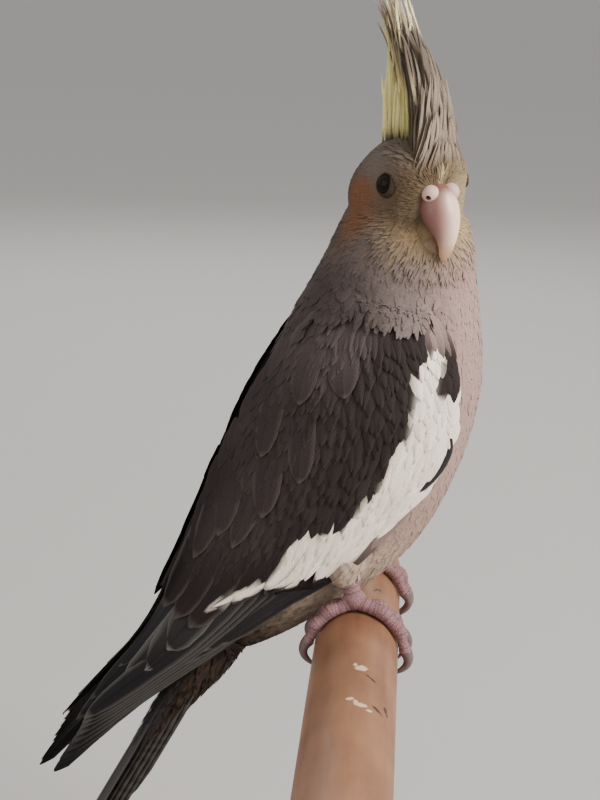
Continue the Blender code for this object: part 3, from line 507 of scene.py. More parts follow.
def coatColour(points):  # colour of skin and coat at points of the bird
    p = np.asarray(points, float)
    h = intoHead(p)
    axis = np.interp(p[..., 2], (0, 15, 40, 75, 100, 128), (-40, -28, -14, 0, 4, 6))
    front = p[..., 0] - axis - 0.25 * np.abs(p[..., 1])
    colour = mixColour(plumage["back"], plumage["side"], ramp(front, -16.0, 0.0))
    colour = mixColour(colour, plumage["breast"], ramp(front, -2.0, 17.0))
    colour = mixColour(colour, plumage["belly"], ramp(p[..., 2], 60, 30))
    bars = np.sin(p[..., 0] * 1.9 + p[..., 2] * 1.3 + 1.5 * np.sin(p[..., 1] * 0.9))
    # the undertail's pale feathers and bars carry painted light from the floor as well as their own colour
    ventWithPaintedLight = mixColour(plumage["ventWithPaintedLight"], plumage["ventBarWithPaintedLight"], ramp(bars, 0.1, 0.7))
    down = (p - tail["base"]) @ tailTurn
    ventWithPaintedLight = mixColour(ventWithPaintedLight, mixColour(plumage["underBar"], plumage["underDark"], ramp(bars, -0.5, 0.5)),
                     ramp(down[..., 0], -14, 12))
    ventWithPaintedLight = mixColour(ventWithPaintedLight, plumage["tailTop"], ramp(down[..., 2], -1, 3))
    colour = mixColour(colour, ventWithPaintedLight, ramp(p[..., 2], 46, 26) * ramp(p[..., 2] - 0.5 * p[..., 0], 56, 34))
    onHead = ramp(p[..., 2], 114, 127)
    crown = mixColour(plumage["nape"], plumage["crown"], ramp(h[..., 0], -16, 2))
    low = ramp(h[..., 2], -6, -15) * ramp(h[..., 0], -6, 6)
    crown = mixColour(crown, mixColour(plumage["side"], plumage["breast"], ramp(front, 0, 17)), low * 0.6)
    colour = mixColour(colour, crown, onHead)
    away = np.linalg.norm(h - head["billRoot"], axis=-1)
    colour = mixColour(colour, plumage["face"], onHead * ramp(away, 20, 12))
    chin = ramp(h[..., 2], -6, -11)
    colour = mixColour(colour, plumage["yellow"], onHead * ramp(away, 16, 11) * (0.08 + 0.92 * chin))
    # painted light: a pale wash on the head's left side by the bill, the side that faces the window light
    colour = mixColour(colour, plumage["pale"], onHead * ramp(away, 16, 10) * ramp(h[..., 1], 0, 7) * 0.6)
    tuft = np.linalg.norm((h - head["tuft"]) / (2.2, 1.3, 2.8), axis=-1)
    colour = mixColour(colour, plumage["pale"], onHead * ramp(tuft, 1.3, 0.7))
    cheek = head["cheek"]
    spot = ((h[..., 0] - cheek[0]) / head["cheekSize"][0]) ** 2
    spot = spot + ((h[..., 2] - cheek[2]) / head["cheekSize"][1]) ** 2
    spot = spot + 0.03 * (h[..., 0] - cheek[0]) * (h[..., 2] - cheek[2]) / 4
    cheekShare = ramp(spot, 1.5, 0.4) * ramp(np.abs(h[..., 1]), 8, 11) * 0.9
    return mixColour(colour, plumage["cheek"], cheekShare)


# Feathers

sections = {  # corners across a feather: place across it and height over it
    "tuft": ((-1.0, 0.0), (0.0, 1.0), (1.0, 0.0)),
    "blade": ((-1.0, 0.0), (-0.4, 0.85), (0.0, 1.2), (0.4, 0.85), (1.0, 0.0), (0.0, -0.6)),
    "vane": ((-1.0, 0.0), (-0.93, 0.3), (-0.62, 0.55), (-0.3, 0.7), (-0.05, 0.75), (0.0, 1.5), (0.05, 0.75),
             (0.3, 0.7), (0.62, 0.55), (0.93, 0.3), (1.0, 0.0), (0.5, -0.3), (0.0, -0.4), (-0.5, -0.3)),
}


bakeSize = 0.0015  # half of a feather's patch on the unit square


def weaveMesh(name, points, tints, marks, bakePlace):  # closed vanes from (vane, row, corner) arrays
    count, rows, corners = points.shape[:3]
    flat = points.reshape(-1, 3)
    vane = np.arange(count)[:, None, None] * rows * corners
    row = np.arange(rows - 1)[None, :, None] * corners
    corner = np.arange(corners)[None, None, :]
    after = (corner + 1) % corners
    quads = np.stack([vane + row + corner, vane + row + after,
                      vane + row + corners + after, vane + row + corners + corner], -1).reshape(-1, 4)
    firstCap = np.arange(count)[:, None] * rows * corners + np.arange(corners)[None, ::-1]
    lastCap = np.arange(count)[:, None] * rows * corners + (rows - 1) * corners + np.arange(corners)[None, :]
    caps = np.concatenate([firstCap, lastCap])
    loops = np.concatenate([quads.ravel(), caps.ravel()])
    starts = np.concatenate([np.arange(len(quads)) * 4, len(quads) * 4 + np.arange(len(caps)) * corners])
    mesh = bpy.data.meshes.new(name)
    mesh.vertices.add(len(flat))
    mesh.vertices.foreach_set("co", flat.ravel())
    mesh.loops.add(len(loops))
    mesh.loops.foreach_set("vertex_index", loops.astype(np.int32))
    mesh.polygons.add(len(starts))
    mesh.polygons.foreach_set("loop_start", starts.astype(np.int32))
    mesh.update(calc_edges=True)
    mesh.validate()
    colours = np.ones((len(flat), 4))
    colours[:, :3] = np.clip(tints.reshape(-1, 3), 0.0, 1.0)
    layer = mesh.color_attributes.new(name="tint", type="FLOAT_COLOR", domain="POINT")
    layer.data.foreach_set("color", colours.ravel())
    vaneMap = mesh.uv_layers.new(name="vane")
    vaneMap.data.foreach_set("uv", marks.reshape(-1, 2)[loops].ravel())
    patch = bakeSize * np.stack(np.meshgrid(np.linspace(-1, 1, corners), np.linspace(-1, 1, rows)), -1)
    patch = bakePlace[:, None, None, :] + patch
    bakeMap = mesh.uv_layers.new(name="OFBake")
    bakeMap.data.foreach_set("uv", patch.reshape(-1, 2)[loops].ravel())
    mesh.shade_smooth()
    mesh.set_sharp_from_angle(angle=math.radians(60))
    return mesh


def growVanes(centres, ways, ups, halves, section, thickness, camber, skew):
    # centre lines (vane, row, 3) with their directions and normals become corners (vane, row, corner, 3)
    across = unit(np.cross(ways, ups))
    places = np.array([corner[0] for corner in sections[section]])
    heights = np.array([corner[1] for corner in sections[section]])
    wide = halves[..., None] * places
    rise = heights * thickness - camber * halves[..., None] * places**2
    back = skew * halves[..., None] * np.abs(places)
    return (
        centres[:, :, None, :]
        + wide[..., None] * across[:, :, None, :]
        + rise[..., None] * ups[:, :, None, :]
        + back[..., None] * ways[:, :, None, :]
    ), places


def treeOf(*meshes):
    verts, faces = [], []
    for mesh in meshes:
        start = len(verts)
        verts += [vert.co[:] for vert in mesh.vertices]
        faces += [[start + k for k in face.vertices] for face in mesh.polygons]
    return BVHTree.FromPolygons(verts, faces)


def spreadRoots(mesh, spacing, keep, tries=4):  # even but random places on a mesh
    mesh.calc_loop_triangles()
    corners = np.empty(len(mesh.loop_triangles) * 3, np.int32)
    mesh.loop_triangles.foreach_get("vertices", corners)
    spots = np.empty(len(mesh.vertices) * 3)
    mesh.vertices.foreach_get("co", spots)
    triangles = spots.reshape(-1, 3)[corners.reshape(-1, 3)]
    sides = triangles[:, 1:] - triangles[:, :1]
    areas = np.linalg.norm(np.cross(sides[:, 0], sides[:, 1]), axis=1) * keep(triangles.mean(1))
    wanted = int(tries * areas.sum() / 2 / spacing**2)
    pick = draw.choice(len(areas), wanted, p=areas / areas.sum())
    r = draw.random((wanted, 2))
    r = np.where(r.sum(1, keepdims=True) > 1, 1 - r, r)
    points = triangles[pick, 0] + r[:, :1] * sides[pick, 0] + r[:, 1:] * sides[pick, 1]
    return points[apart(points, spacing)]


def apart(points, spacing):  # numbers of the points that keep clear of those before them
    taken, kept = {}, []
    reach = 0.75 * spacing**2
    cells = np.floor(points / spacing).astype(int).tolist()
    for i, ((x, y, z), (px, py, pz)) in enumerate(zip(cells, points.tolist())):
        near = False
        for dx in (-1, 0, 1):
            for dy in (-1, 0, 1):
                for dz in (-1, 0, 1):
                    other = taken.get((x + dx, y + dy, z + dz))
                    if other and (px - other[0]) ** 2 + (py - other[1]) ** 2 + (pz - other[2]) ** 2 < reach:
                        near = True
        if not near:
            taken[(x, y, z)] = (px, py, pz)
            kept.append(i)
    return np.array(kept, int)


def onSurface(tree, spots):
    found = [tree.find_nearest(spot)[:2] for spot in spots.tolist()]
    return np.array([place[:] for place, _ in found]), np.array([normal[:] for _, normal in found])


def heightOver(tree, spot):  # height over the nearest place, the same as a step, and distance beside it
    place, normal = tree.find_nearest(spot)[:2]
    away = Vector(spot) - place
    height = away.dot(normal)
    return height, normal * height, (away - normal * height).length


def lieOf(points):  # the way that feathers lie: away from the bill on the head, down the body elsewhere
    h = intoHead(points)
    fromBill = unit(h - np.array((17.0, 0.0, -2.0))) + np.array((-0.30, 0.0, -0.30))
    onHead = unit(fromBill @ headTurn.T)
    back = np.interp(points[:, 2], (-10, 5, 20, 40, 60, 90, 120), (0.6, 0.8, 1.15, 0.95, 0.6, 0.30, 0.15))
    down = np.stack([-back, 0.08 * np.sign(points[:, 1]), -np.ones(len(points))], -1)
    share = ramp(points[:, 2], 112, 126)[:, None]
    return unit(unit(down) * (1 - share) + onHead * share)


def bodyUnwrap(points):  # angle round the body and height, on the unit square
    around = np.arctan2(points[:, 1], points[:, 0] - np.interp(points[:, 2], (0, 128), (-35, 9)))
    height = np.clip((points[:, 2] + 40) / 200, 0, 1)
    return np.stack([0.5 + 0.98 * around / (2 * math.pi), 0.02 + 0.96 * height], -1)


coatKinds = {  # cross section, rows along a feather, its outline, how much lighter its rim is and its curve
    "hair": {"section": "tuft", "steps": (0, 0.35, 0.7, 1), "outline": (0.6, 1.0, 0.75, 0.04), "rim": 0.0,
             "camber": 0.10},
    "soft": {"section": "tuft", "steps": (0, 0.4, 0.75, 1), "outline": (0.6, 1.0, 0.92, 0.20), "rim": 0.0,
             "camber": 0.03},
    "broad": {"section": "blade", "steps": (0, 0.25, 0.5, 0.7, 0.84, 0.93, 1),
              "outline": (0.5, 0.85, 1.0, 0.97, 0.80, 0.52, 0.10), "rim": 0.16, "camber": 0.10},
}


coat = {  # of every small feather: millimetres for thickness and sunk, shares for the rest
    "thickness": 0.07,
    "sunk": 0.3,
    "skew": -0.12,
    "lengths": (0.8, 1.2),
    "heights": (0.8, 1.12),
    "widths": (0.85, 1.12),
    "tones": (0.95, 1.05),
}


def growCoat(name, tree, roots, kind, length, half, height, wander=0.15):
    made = coatKinds[kind]
    steps = np.array(made["steps"])
    count, rows = len(roots), len(steps)
    each = [value(roots) if callable(value) else np.full(count, value) for value in (length, half, height)]
    reach, wide, tall = each
    reach = reach * draw.uniform(*coat["lengths"], count)
    tall = tall * draw.uniform(*coat["heights"], count)
    turn = draw.normal(0.0, wander, count)[:, None]
    centres, ups = np.empty((count, rows, 3)), np.empty((count, rows, 3))
    spots = roots
    for r in range(rows):
        place, normal = onSurface(tree, spots)
        way = lieOf(place) if r == 0 else way
        way = unit(way - normal * (way * normal).sum(1, keepdims=True))
        if r == 0:
            way = way * np.cos(turn) + np.cross(normal, way) * np.sin(turn)
        centres[:, r], ups[:, r] = place, normal
        gap = steps[min(r + 1, rows - 1)] - steps[r]
        spots = place + way * (reach * gap)[:, None]
    rise = -coat["sunk"] + (tall[:, None] + coat["sunk"]) * steps[None, :] ** 0.8
    centres = centres + ups * rise[..., None]
    ways = unit(np.gradient(centres, axis=1))
    ups = unit(ups - ways * (ups * ways).sum(-1, keepdims=True))
    halves = wide[:, None] * np.array(made["outline"]) * draw.uniform(*coat["widths"], (count, rows))
    points, places = growVanes(centres, ways, ups, halves, made["section"], coat["thickness"],
                               made["camber"], coat["skew"])
    colours = (coatColour(roots)[:, None, :] + coatColour(centres)) / 2
    tints = colours[:, :, None, :] * draw.uniform(*coat["tones"], count)[:, None, None, None]
    # painted shade: each feather is a little darker at its root, where the feathers above cover it, and
    # lighter at its tip; the lighter rim is the feather's own
    light = np.interp(steps, (0, 0.5, 1), (0.96, 0.99, 1.05))[:, None]
    light = light + made["rim"] * np.abs(places)[None, :] ** 3
    tints = np.broadcast_to(tints * light[None, :, :, None], points.shape)
    marks = np.zeros((*points.shape[:3], 2))
    marks[..., 0] = places[None, None, :] * halves[..., None]
    marks[..., 1] = ((steps[None, :] + draw.random(count)[:, None]) * reach[:, None])[..., None]
    mesh = weaveMesh(name, points, tints, marks, bodyUnwrap(roots))
    print(name, count, "feathers")
    return keepBirdPiece(name, mesh, finishes["down"])


def tintMesh(mesh, colourAt):  # colours the vertices by their places
    spots = np.empty(len(mesh.vertices) * 3)
    mesh.vertices.foreach_get("co", spots)
    colours = np.ones((len(mesh.vertices), 4))
    colours[:, :3] = colourAt(spots.reshape(-1, 3))
    layer = mesh.color_attributes.new(name="tint", type="FLOAT_COLOR", domain="POINT")
    layer.data.foreach_set("color", colours.ravel())


def melted(mesh, voxel, rounds):  # overlapping forms of a mesh made into one soft surface
    made = bpy.data.objects.new("form", mesh)
    bpy.context.scene.collection.objects.link(made)
    melt = made.modifiers.new("melt", "REMESH")
    melt.mode = "VOXEL"
    melt.voxel_size = voxel
    soft = made.modifiers.new("soft", "SMOOTH")
    soft.factor = 0.5
    soft.iterations = rounds
    graph = bpy.context.evaluated_depsgraph_get()
    result = bpy.data.meshes.new_from_object(made.evaluated_get(graph))
    bpy.data.objects.remove(made)
    result.shade_smooth()
    return result


# Skin: body, head and thighs in one closed mesh

leg = {"hubAngle": 94.0, "hubRadius": 3.4, "ankle": 4.2, "stance": 20.0, "gap": 0.32, "perchRadius": 12.5}
soleRadius = leg["perchRadius"] + leg["gap"]
perchTurn = turnAbout("Z", -bird["yaw"])
perchAxis = perchTurn @ np.array([0.0, 1.0, 0.0])
thigh = {  # middle line from the foot's hub (x, side, height), rises over the ankle, and radii
    "path": ((-22.0, -12.0, 33.0), (-15.0, -10.0, 24.0), (-8.5, -7.0, 16.0), (-5.0, -4.4, 11.0)),
    "ankleRises": (4.0, 0.5),
    "radii": (8.5, 10.0, 9.8, 8.6, 6.4, 4.2),
    "coatDepth": 1.0,
}
# Heights are over the wing's surface; a hem is the share of the wing left free at its lower edge
skin = {"voxel": 0.75, "rounds": 14, "wingHeight": -3.6, "wingHem": 0.10}
form = {"voxel": 1.1, "rounds": 10, "wingHeight": -0.7, "wingHem": 0.05}
wingParts = {"thickness": 9.0, "reach": 0.40}
press = {"height": -3.2, "hem": 0.06, "deepest": 8.0, "beside": 0.4}
covers = {"height": -0.5, "wideHem": -0.05, "hem": 0.03, "ray": 22.0, "near": 2.0, "beside": 0.3}


def roundPerch(angle, side, radius):  # a place round the dowel, with the angle in degrees
    turned = math.radians(angle)
    return perchTurn @ np.array([radius * math.cos(turned), side, radius * math.sin(turned)])


def hubPoint(side):
    return roundPerch(leg["hubAngle"], side * leg["stance"], soleRadius + leg["hubRadius"])


def anklePoint(side, rise):
    return hubPoint(side) + rise * unit(np.array([-0.3, -0.12 * side, 1.0]))


def makeWingBed(name, left, height, thickness, reach=0.61, hem=0.03):  # form under the wing's feathers
    bm = bmesh.new()
    bmesh.ops.create_grid(bm, x_segments=34, y_segments=16, size=1.0)
    for vert in bm.verts:
        u, v = 0.01 + reach * (vert.co.x + 1) / 2, hem + (0.5 - hem) * (vert.co.y + 1)
        vert.co = mirrored(wingSurface(u, v, np.array(height)), left)
    bm.normal_update()
    side = 1.0 if left else -1.0
    if sum(face.normal.y for face in bm.faces) * side < 0:
        bmesh.ops.reverse_faces(bm, faces=bm.faces)
    if thickness:
        bmesh.ops.solidify(bm, geom=bm.faces, thickness=thickness)
        bmesh.ops.recalc_face_normals(bm, faces=bm.faces)
    return meshOf(bm, name)


def addWingParts(bm, height, hem):  # both wings' front halves down to the body
    for left in (False, True):
        part = makeWingBed("part", left, height, wingParts["thickness"], wingParts["reach"], hem)
        bm.from_mesh(part)
        bpy.data.meshes.remove(part)


def pressUnderWings(mesh):  # the skin keeps below the beds of the wings' feathers
    beds = [makeWingBed("press", left, press["height"], 0.0, hem=press["hem"]) for left in (False, True)]
    wings = treeOf(*beds)
    for bed in beds:
        bpy.data.meshes.remove(bed)
    for vert in mesh.vertices:
        height, way, aside = heightOver(wings, vert.co)
        if 0.0 < height < press["deepest"] and aside < press["beside"]:
            vert.co -= way
    return mesh


def makeSkin():
    bm = bmesh.new()
    ringTube(bm, [bodyRing(t, body["coatDepth"]) for t in np.linspace(0, len(body["stations"]) - 1, 34)])
    ball = bmesh.ops.create_uvsphere(bm, u_segments=48, v_segments=32, radius=1.0)["verts"]
    for vert in ball:
        vert.co = fromHead(skullPoint(vert.co, head["coatDepth"]))
    for side in (-1, 1):
        path = [hubPoint(side) + (back, aside * side, rise) for back, aside, rise in thigh["path"]]
        path += [anklePoint(side, leg["ankle"] + rise) for rise in thigh["ankleRises"]]
        ringTube(bm, tubeRings(path, np.array(thigh["radii"]) - thigh["coatDepth"], 24))
    addWingParts(bm, skin["wingHeight"], skin["wingHem"])
    return pressUnderWings(melted(meshOf(bm, "skin", outward=True), skin["voxel"], skin["rounds"]))


def makeForm():  # skin and wings in one smooth form, on which the feathers round the wings lie
    bm = bmesh.new()
    bm.from_mesh(skinMesh)
    addWingParts(bm, form["wingHeight"], form["wingHem"])
    return melted(meshOf(bm, "form"), form["voxel"], form["rounds"])


skinMesh = makeSkin()
print("skin form", len(skinMesh.polygons), "faces")

eyes = {}
for eyeSide, eyeNode in ((-1, "eye_right"), (1, "eye_left")):
    low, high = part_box(eyeNode)
    eyes[eyeSide] = np.array(toWorld.inverted() @ ((Vector(low) + Vector(high)) / 2))


def eyeGap(points):
    return np.minimum(*[np.linalg.norm(points - centre, axis=1) for centre in eyes.values()])


wingSides = (("right", False), ("left", True))
regions = {  # distances from the bill's root and the eyes, and heights, where each kind of feather grows
    "face": 13.0,
    "cap": 12.0,
    "beard": (9.0, 16.0),
    "eyeClear": 3.5,
    "faceFoot": 112.0,
    "capFoot": 122.0,
    "neck": (88.0, 125.0),
    "mantle": (40.0, 112.0),
    "mantleEdge": (-34.0, -6.0),
    "body": (-9.0, 92.0),
    "ankleRise": 8.0,
    "leg": 11.0,
    "tuft": 1.7,
}
shoulder = {"front": 0.34, "least": (1.5, -1.2), "reach": 6.5, "spacing": 1.0, "lengths": (4.5, 8.5),
            "half": 0.95, "heights": (0.5, 1.0), "wander": 0.25}


def varied(least, most):  # a measure drawn for each feather
    return lambda p: draw.uniform(least, most, len(p))


def between(values, ends):
    return (values > ends[0]) & (values < ends[1])


def growSkinCoat():
    sides = [(left, hem) for left in (False, True) for hem in (covers["wideHem"], covers["hem"])]
    over = [makeWingBed("cover", left, covers["height"], 0.0, hem=hem) for left, hem in sides]
    dressedMesh = makeForm()
    bare, dressed = treeOf(skinMesh), treeOf(dressedMesh)
    wings, inner = treeOf(*over[::2]), treeOf(*over[1::2])
    for cover in over:
        bpy.data.meshes.remove(cover)

    def fromBill(p):
        return np.linalg.norm(intoHead(p) - head["billRoot"], axis=1)

    def isCovered(p):  # whether a folded wing lies over the body
        ways = onSurface(bare, p)[1]
        hits = [wings.ray_cast(spot, way, covers["ray"])[0] for spot, way in zip(p.tolist(), ways.tolist())]
        return np.array([hit is not None for hit in hits])

    def isOnWing(p):  # whether feathers from these places would lie on a wing
        marks = []
        for spot in onSurface(dressed, p)[0]:
            height, _, aside = heightOver(inner, spot)
            marks.append(abs(height) < covers["near"] and aside < covers["beside"])
        return np.array(marks)

    def isFace(p):
        h = intoHead(p)
        mouth = (h[:, 0] > 12.0) & (np.abs(h[:, 1]) < 4.6) & (h[:, 2] < 3.5) & (h[:, 2] > -15.5)
        near = (fromBill(p) < regions["face"]) * (p[:, 2] > regions["faceFoot"])
        return near * (eyeGap(p) > regions["eyeClear"]) * ~mouth

    def isCap(p):
        away = (fromBill(p) >= regions["cap"]) * (p[:, 2] > regions["capFoot"])
        return away * (eyeGap(p) > regions["eyeClear"])

    def isBeard(p):
        h = intoHead(p)
        return between(fromBill(p), regions["beard"]) * (h[:, 2] < -4.0) * (h[:, 0] > 3.0)

    def isNeck(p):
        return between(p[:, 2], regions["neck"])

    def isMantle(p):
        edge = np.interp(p[:, 2], regions["mantle"], regions["mantleEdge"])
        return between(p[:, 2], regions["mantle"]) & (p[:, 0] < edge)

    def isBody(p):
        return between(p[:, 2], regions["body"]) & ~isMantle(p)

    def isLeg(p):
        ankles = [anklePoint(side, regions["ankleRise"]) for side in (-1, 1)]
        return np.minimum(*[np.linalg.norm(p - ankle, axis=1) for ankle in ankles]) < regions["leg"]

    def sized(value):
        return lambda p: value * np.interp(eyeGap(p), (3.6, 8), (0.35, 1.0))

    def rooted(spacing, keep):
        roots = spreadRoots(skinMesh, spacing, keep)
        roots = roots[~isCovered(roots)]
        return roots[~isOnWing(roots)]

    def isTuft(p):
        return np.linalg.norm(intoHead(p) - head["tuft"] + (0.0, 0.0, 1.0), axis=1) < regions["tuft"]

    def isForehead(p):
        h = intoHead(p)
        return (h[:, 2] > 8.5) & (h[:, 0] > 5.0) & (np.abs(h[:, 1]) < 7.5)

    for name, tree, spacing, keep, kind, length, half, height, slot, wander in (
        ("faceFeathers", bare, 0.44, isFace, "hair", sized(3.8), 0.30, sized(0.55), "face_plumage", 0.2),
        ("headFeathers", bare, 0.54, isCap, "hair", sized(5.2), 0.42, sized(0.6), "face_plumage", 0.12),
        ("beardFeathers", bare, 0.85, isBeard, "hair", 7.0, 0.55, 1.0, "face_plumage", 0.35),
        ("foreheadTuft", bare, 0.5, isTuft, "hair", 4.2, 0.30, 1.3, "face_plumage", 0.15),
        ("foreheadFeathers", bare, 0.75, isForehead, "hair", 8.5, 0.55, 1.5, "face_plumage", 0.25),
        ("neckFeathers", dressed, 0.90, isNeck, "soft", 9.0, 1.15, 0.45, "grey_plumage", 0.16),
        ("bodyFeathers", dressed, 1.05, isBody, "soft", 9.0, 1.45, 0.40, "grey_plumage", 0.16),
        ("mantleFeathers", dressed, 1.8, isMantle, "broad", 11.0, 2.1, 1.0, "grey_plumage", 0.15),
        ("legFeathers", bare, 0.8, isLeg, "soft", 6.5, 0.75, 0.4, "grey_plumage", 0.18),
    ):
        growCoat(name, tree, rooted(spacing, keep), kind, length, half, height, wander)
    for name, left in wingSides:  # the neck's and breast's feathers over the wing's edge
        u, v = np.linspace(0.01, shoulder["front"], 60), np.linspace(0.0, 1.0, 80)
        front, top = np.zeros(len(u)), np.zeros(len(v))
        edge = mirrored(np.concatenate([wingPoint(u, front), wingPoint(top, v)]), left)
        out = -unit(np.concatenate([wingSlopes(u, front)[1], wingSlopes(top, v)[0]]))
        out[:, 1] *= -1.0 if left else 1.0
        least = np.repeat(shoulder["least"], (len(u), len(v)))

        def beside(p):
            away = np.linalg.norm(p[:, None, :] - edge[None, :, :], axis=-1)
            near = away.argmin(1)
            past = ((p - edge[near]) * out[near]).sum(1)
            return (away.min(1) < shoulder["reach"]) & (past > least[near])

        roots = spreadRoots(dressedMesh, shoulder["spacing"], beside)
        growCoat(f"shoulderFeathers_{name}", dressed, roots, "soft", varied(*shoulder["lengths"]),
                 shoulder["half"], varied(*shoulder["heights"]), shoulder["wander"])
    bpy.data.meshes.remove(dressedMesh)


growSkinCoat()
tintMesh(skinMesh, coatColour)
skinNodes = ("head", "neck", "torso", "leg_right", "leg_left")
keepBirdPiece("skin", skinMesh, finishes["down"], skinNodes)

# Wings

flightRows = (  # from the lowest layer up: count, first and last root, first and last tip, half width, lifts
    {"count": 9, "roots": ((0.44, 0.05), (0.52, 0.50)), "tips": ((0.998, 0.13), (0.915, 0.58)), "half": 4.3,
     "lifts": (-4.4, -4.3), "rise": 0.34, "bow": 0.10, "rim": 0.75, "tone": "flight"},
    {"count": 8, "roots": ((0.36, 0.08), (0.44, 0.62)), "tips": ((0.76, 0.13), (0.885, 0.52)), "half": 5.0,
     "lifts": (-3.6, -2.6), "rise": 0.04, "bow": 0.04, "rim": 0.9, "tone": "flight"},
    {"count": 4, "roots": ((0.44, 0.62), (0.40, 0.70)), "tips": ((0.862, 0.49), (0.695, 0.56)), "half": 7.2,
     "lifts": (-3.0, -1.9), "rise": 0.30, "bow": -0.05, "rim": 1.0, "tone": "secondary"},
)
otherFlights = (  # behind the rows and at the front edge: root, tip, half width, lifts, bow, rim
    ((0.48, 0.90), (0.80, 0.90), 4.6, (-3.9, -3.7), 0.0, 0.5),
    ((0.50, 0.84), (0.88, 0.86), 4.6, (-3.9, -3.7), 0.0, 0.5),
    ((0.54, 0.76), (0.925, 0.76), 4.2, (-3.9, -3.7), 0.0, 0.5),
    ((0.27, 0.0), (0.39, 0.01), 1.1, (-0.9, -0.7), 0.02, 0.2),
)
tertials = (  # large feathers over the coverts: root, tip, half width
    ((0.34, 0.92), (0.56, 0.86), 4.8), ((0.28, 0.95), (0.515, 0.78), 5.2), ((0.30, 0.78), (0.53, 0.66), 4.4),
    ((0.20, 0.86), (0.465, 0.60), 5.4), ((0.16, 0.74), (0.38, 0.52), 4.6), ((0.12, 0.92), (0.34, 0.76), 5.0),
    ((0.04, 0.70), (0.19, 0.50), 5.0), ((0.04, 0.88), (0.22, 0.70), 5.2), ((0.44, 0.34), (0.60, 0.32), 3.4),
    ((0.43, 0.46), (0.635, 0.42), 4.4), ((0.42, 0.92), (0.655, 0.87), 5.0),
    ((0.40, 0.80), (0.675, 0.72), 5.6), ((0.41, 0.64), (0.695, 0.55), 6.0),
    ((0.53, 0.27), (0.648, 0.53), 1.7), ((0.50, 0.20), (0.628, 0.44), 2.1),
    ((0.53, 0.16), (0.61, 0.30), 2.2),
)
tertialLook = {"lifts": (-1.9, -0.2), "length": 25, "rim": 0.6}
coverts = {
    "spots": 9000,
    "spacing": 2.5,
    "start": (-0.01, 0.58),
    "end": (0.56, 0.06),
    "length": 13.0,
    "half": 2.3,
    "turn": (17.0, 5.0),
    "root": -2.1,
    "tips": (-0.75, -0.35),
}
wingBed = {"height": -2.5, "thickness": 1.8, "shade": 0.8}
vaneShape = {"spread": 0.12, "curve": 0.3}


def wingVane(root, tip, half, lifts, steps, outline, section, bow=0.0, shingle=0.45, thick=0.22):
    root, tip = np.array(root), np.array(tip)
    corners = np.array(sections[section])
    place, height = corners[:, 0], corners[:, 1]
    path = root + (tip - root) * steps[:, None] - np.outer(4 * bow * steps * (1 - steps), (0.0, 1.0))
    du, dv, normal = wingSlopes(path[:, 0], path[:, 1])
    way = unit(du * (tip - root)[0] + dv * (tip - root)[1])
    across = np.cross(way, normal)
    across = across * np.sign((across * dv).sum(-1, keepdims=True))
    back = np.linalg.pinv(np.stack([du, dv], -1))
    wide = half * outline
    offset = across[:, None, :] * (wide[:, None] * place)[..., None]
    offset = offset - way[:, None, :] * (wide[:, None] * vaneShape["spread"] * place**2)[..., None]
    uv = path[:, None, :] + np.einsum("sij,scj->sci", back, offset)
    lift = lifts[0] + (lifts[1] - lifts[0]) * steps**0.8
    fallen = shingle * place * np.minimum(1.0, 0.3 + steps)[:, None]
    over = lift[:, None] - fallen - vaneShape["curve"] * place**2 + thick * height
    grid = wingSurface(uv[..., 0], np.clip(uv[..., 1], -0.03, 1.02), over)
    return grid, uv, place


def ragged(steps, shape, amount):
    return np.interp(steps, *zip(*shape)) * draw.uniform(1 - amount, 1.0, len(steps))


featherShape = ((0, 0.5), (0.25, 0.9), (0.6, 1.0), (0.8, 0.93), (0.9, 0.76), (0.96, 0.5), (1, 0.10))
covertShape = ((0, 0.5), (0.3, 0.95), (0.6, 1.0), (0.8, 0.9), (0.92, 0.62), (1, 0.12))
softShape = ((0, 0.5), (0.3, 0.95), (0.55, 1.0), (0.75, 0.84), (0.88, 0.52), (0.96, 0.26), (1, 0.06))


def whiteShare(u, v):  # 1 inside the pale patch of the wing coverts
    inner = np.interp(u, *zip(*wing["whiteInner"]))
    outer = np.interp(u, *zip(*wing["whiteOuter"]))
    inside = ramp(np.minimum(inner - v, v - outer + 0.02), -0.012, 0.012)
    return inside * (u > 0.075) * (u < 0.65)


def wingColour(u, v):
    dark = mixColour(plumage["wingTop"], plumage["wingDark"], ramp(u, 0.02, 0.25))
    # painted shade: the wing's front part, toward the window light, is made darker
    dark = mixColour(dark, plumage["wingFrontPaintedShade"], ramp(v, 0.62, 0.35))
    shade = 1 - 0.5 * ramp(u, 0.50, 0.62) - 0.35 * ramp(v, 0.84, 0.96) * ramp(u, 0.3, 0.45)
    dark = dark * shade[..., None]
    front = ramp(u, 0.085, 0.06) * ramp(v, 0.15, 0.10)
    flank = ramp(u, 0.37, 0.40) * ramp(u, 0.55, 0.51) * ramp(v, 0.08, 0.05)
    dark = mixColour(dark, mixColour(plumage["side"], plumage["breast"], 0.5), np.maximum(front, flank))
    return mixColour(dark, plumage["white"], whiteShare(u, v))


def edgeShare(place, inner, outer, steps, start, end):  # 1 on the rim and at the tip of a vane
    return np.maximum(ramp(np.abs(place), inner, outer)[None, :], ramp(steps, start, end)[:, None])


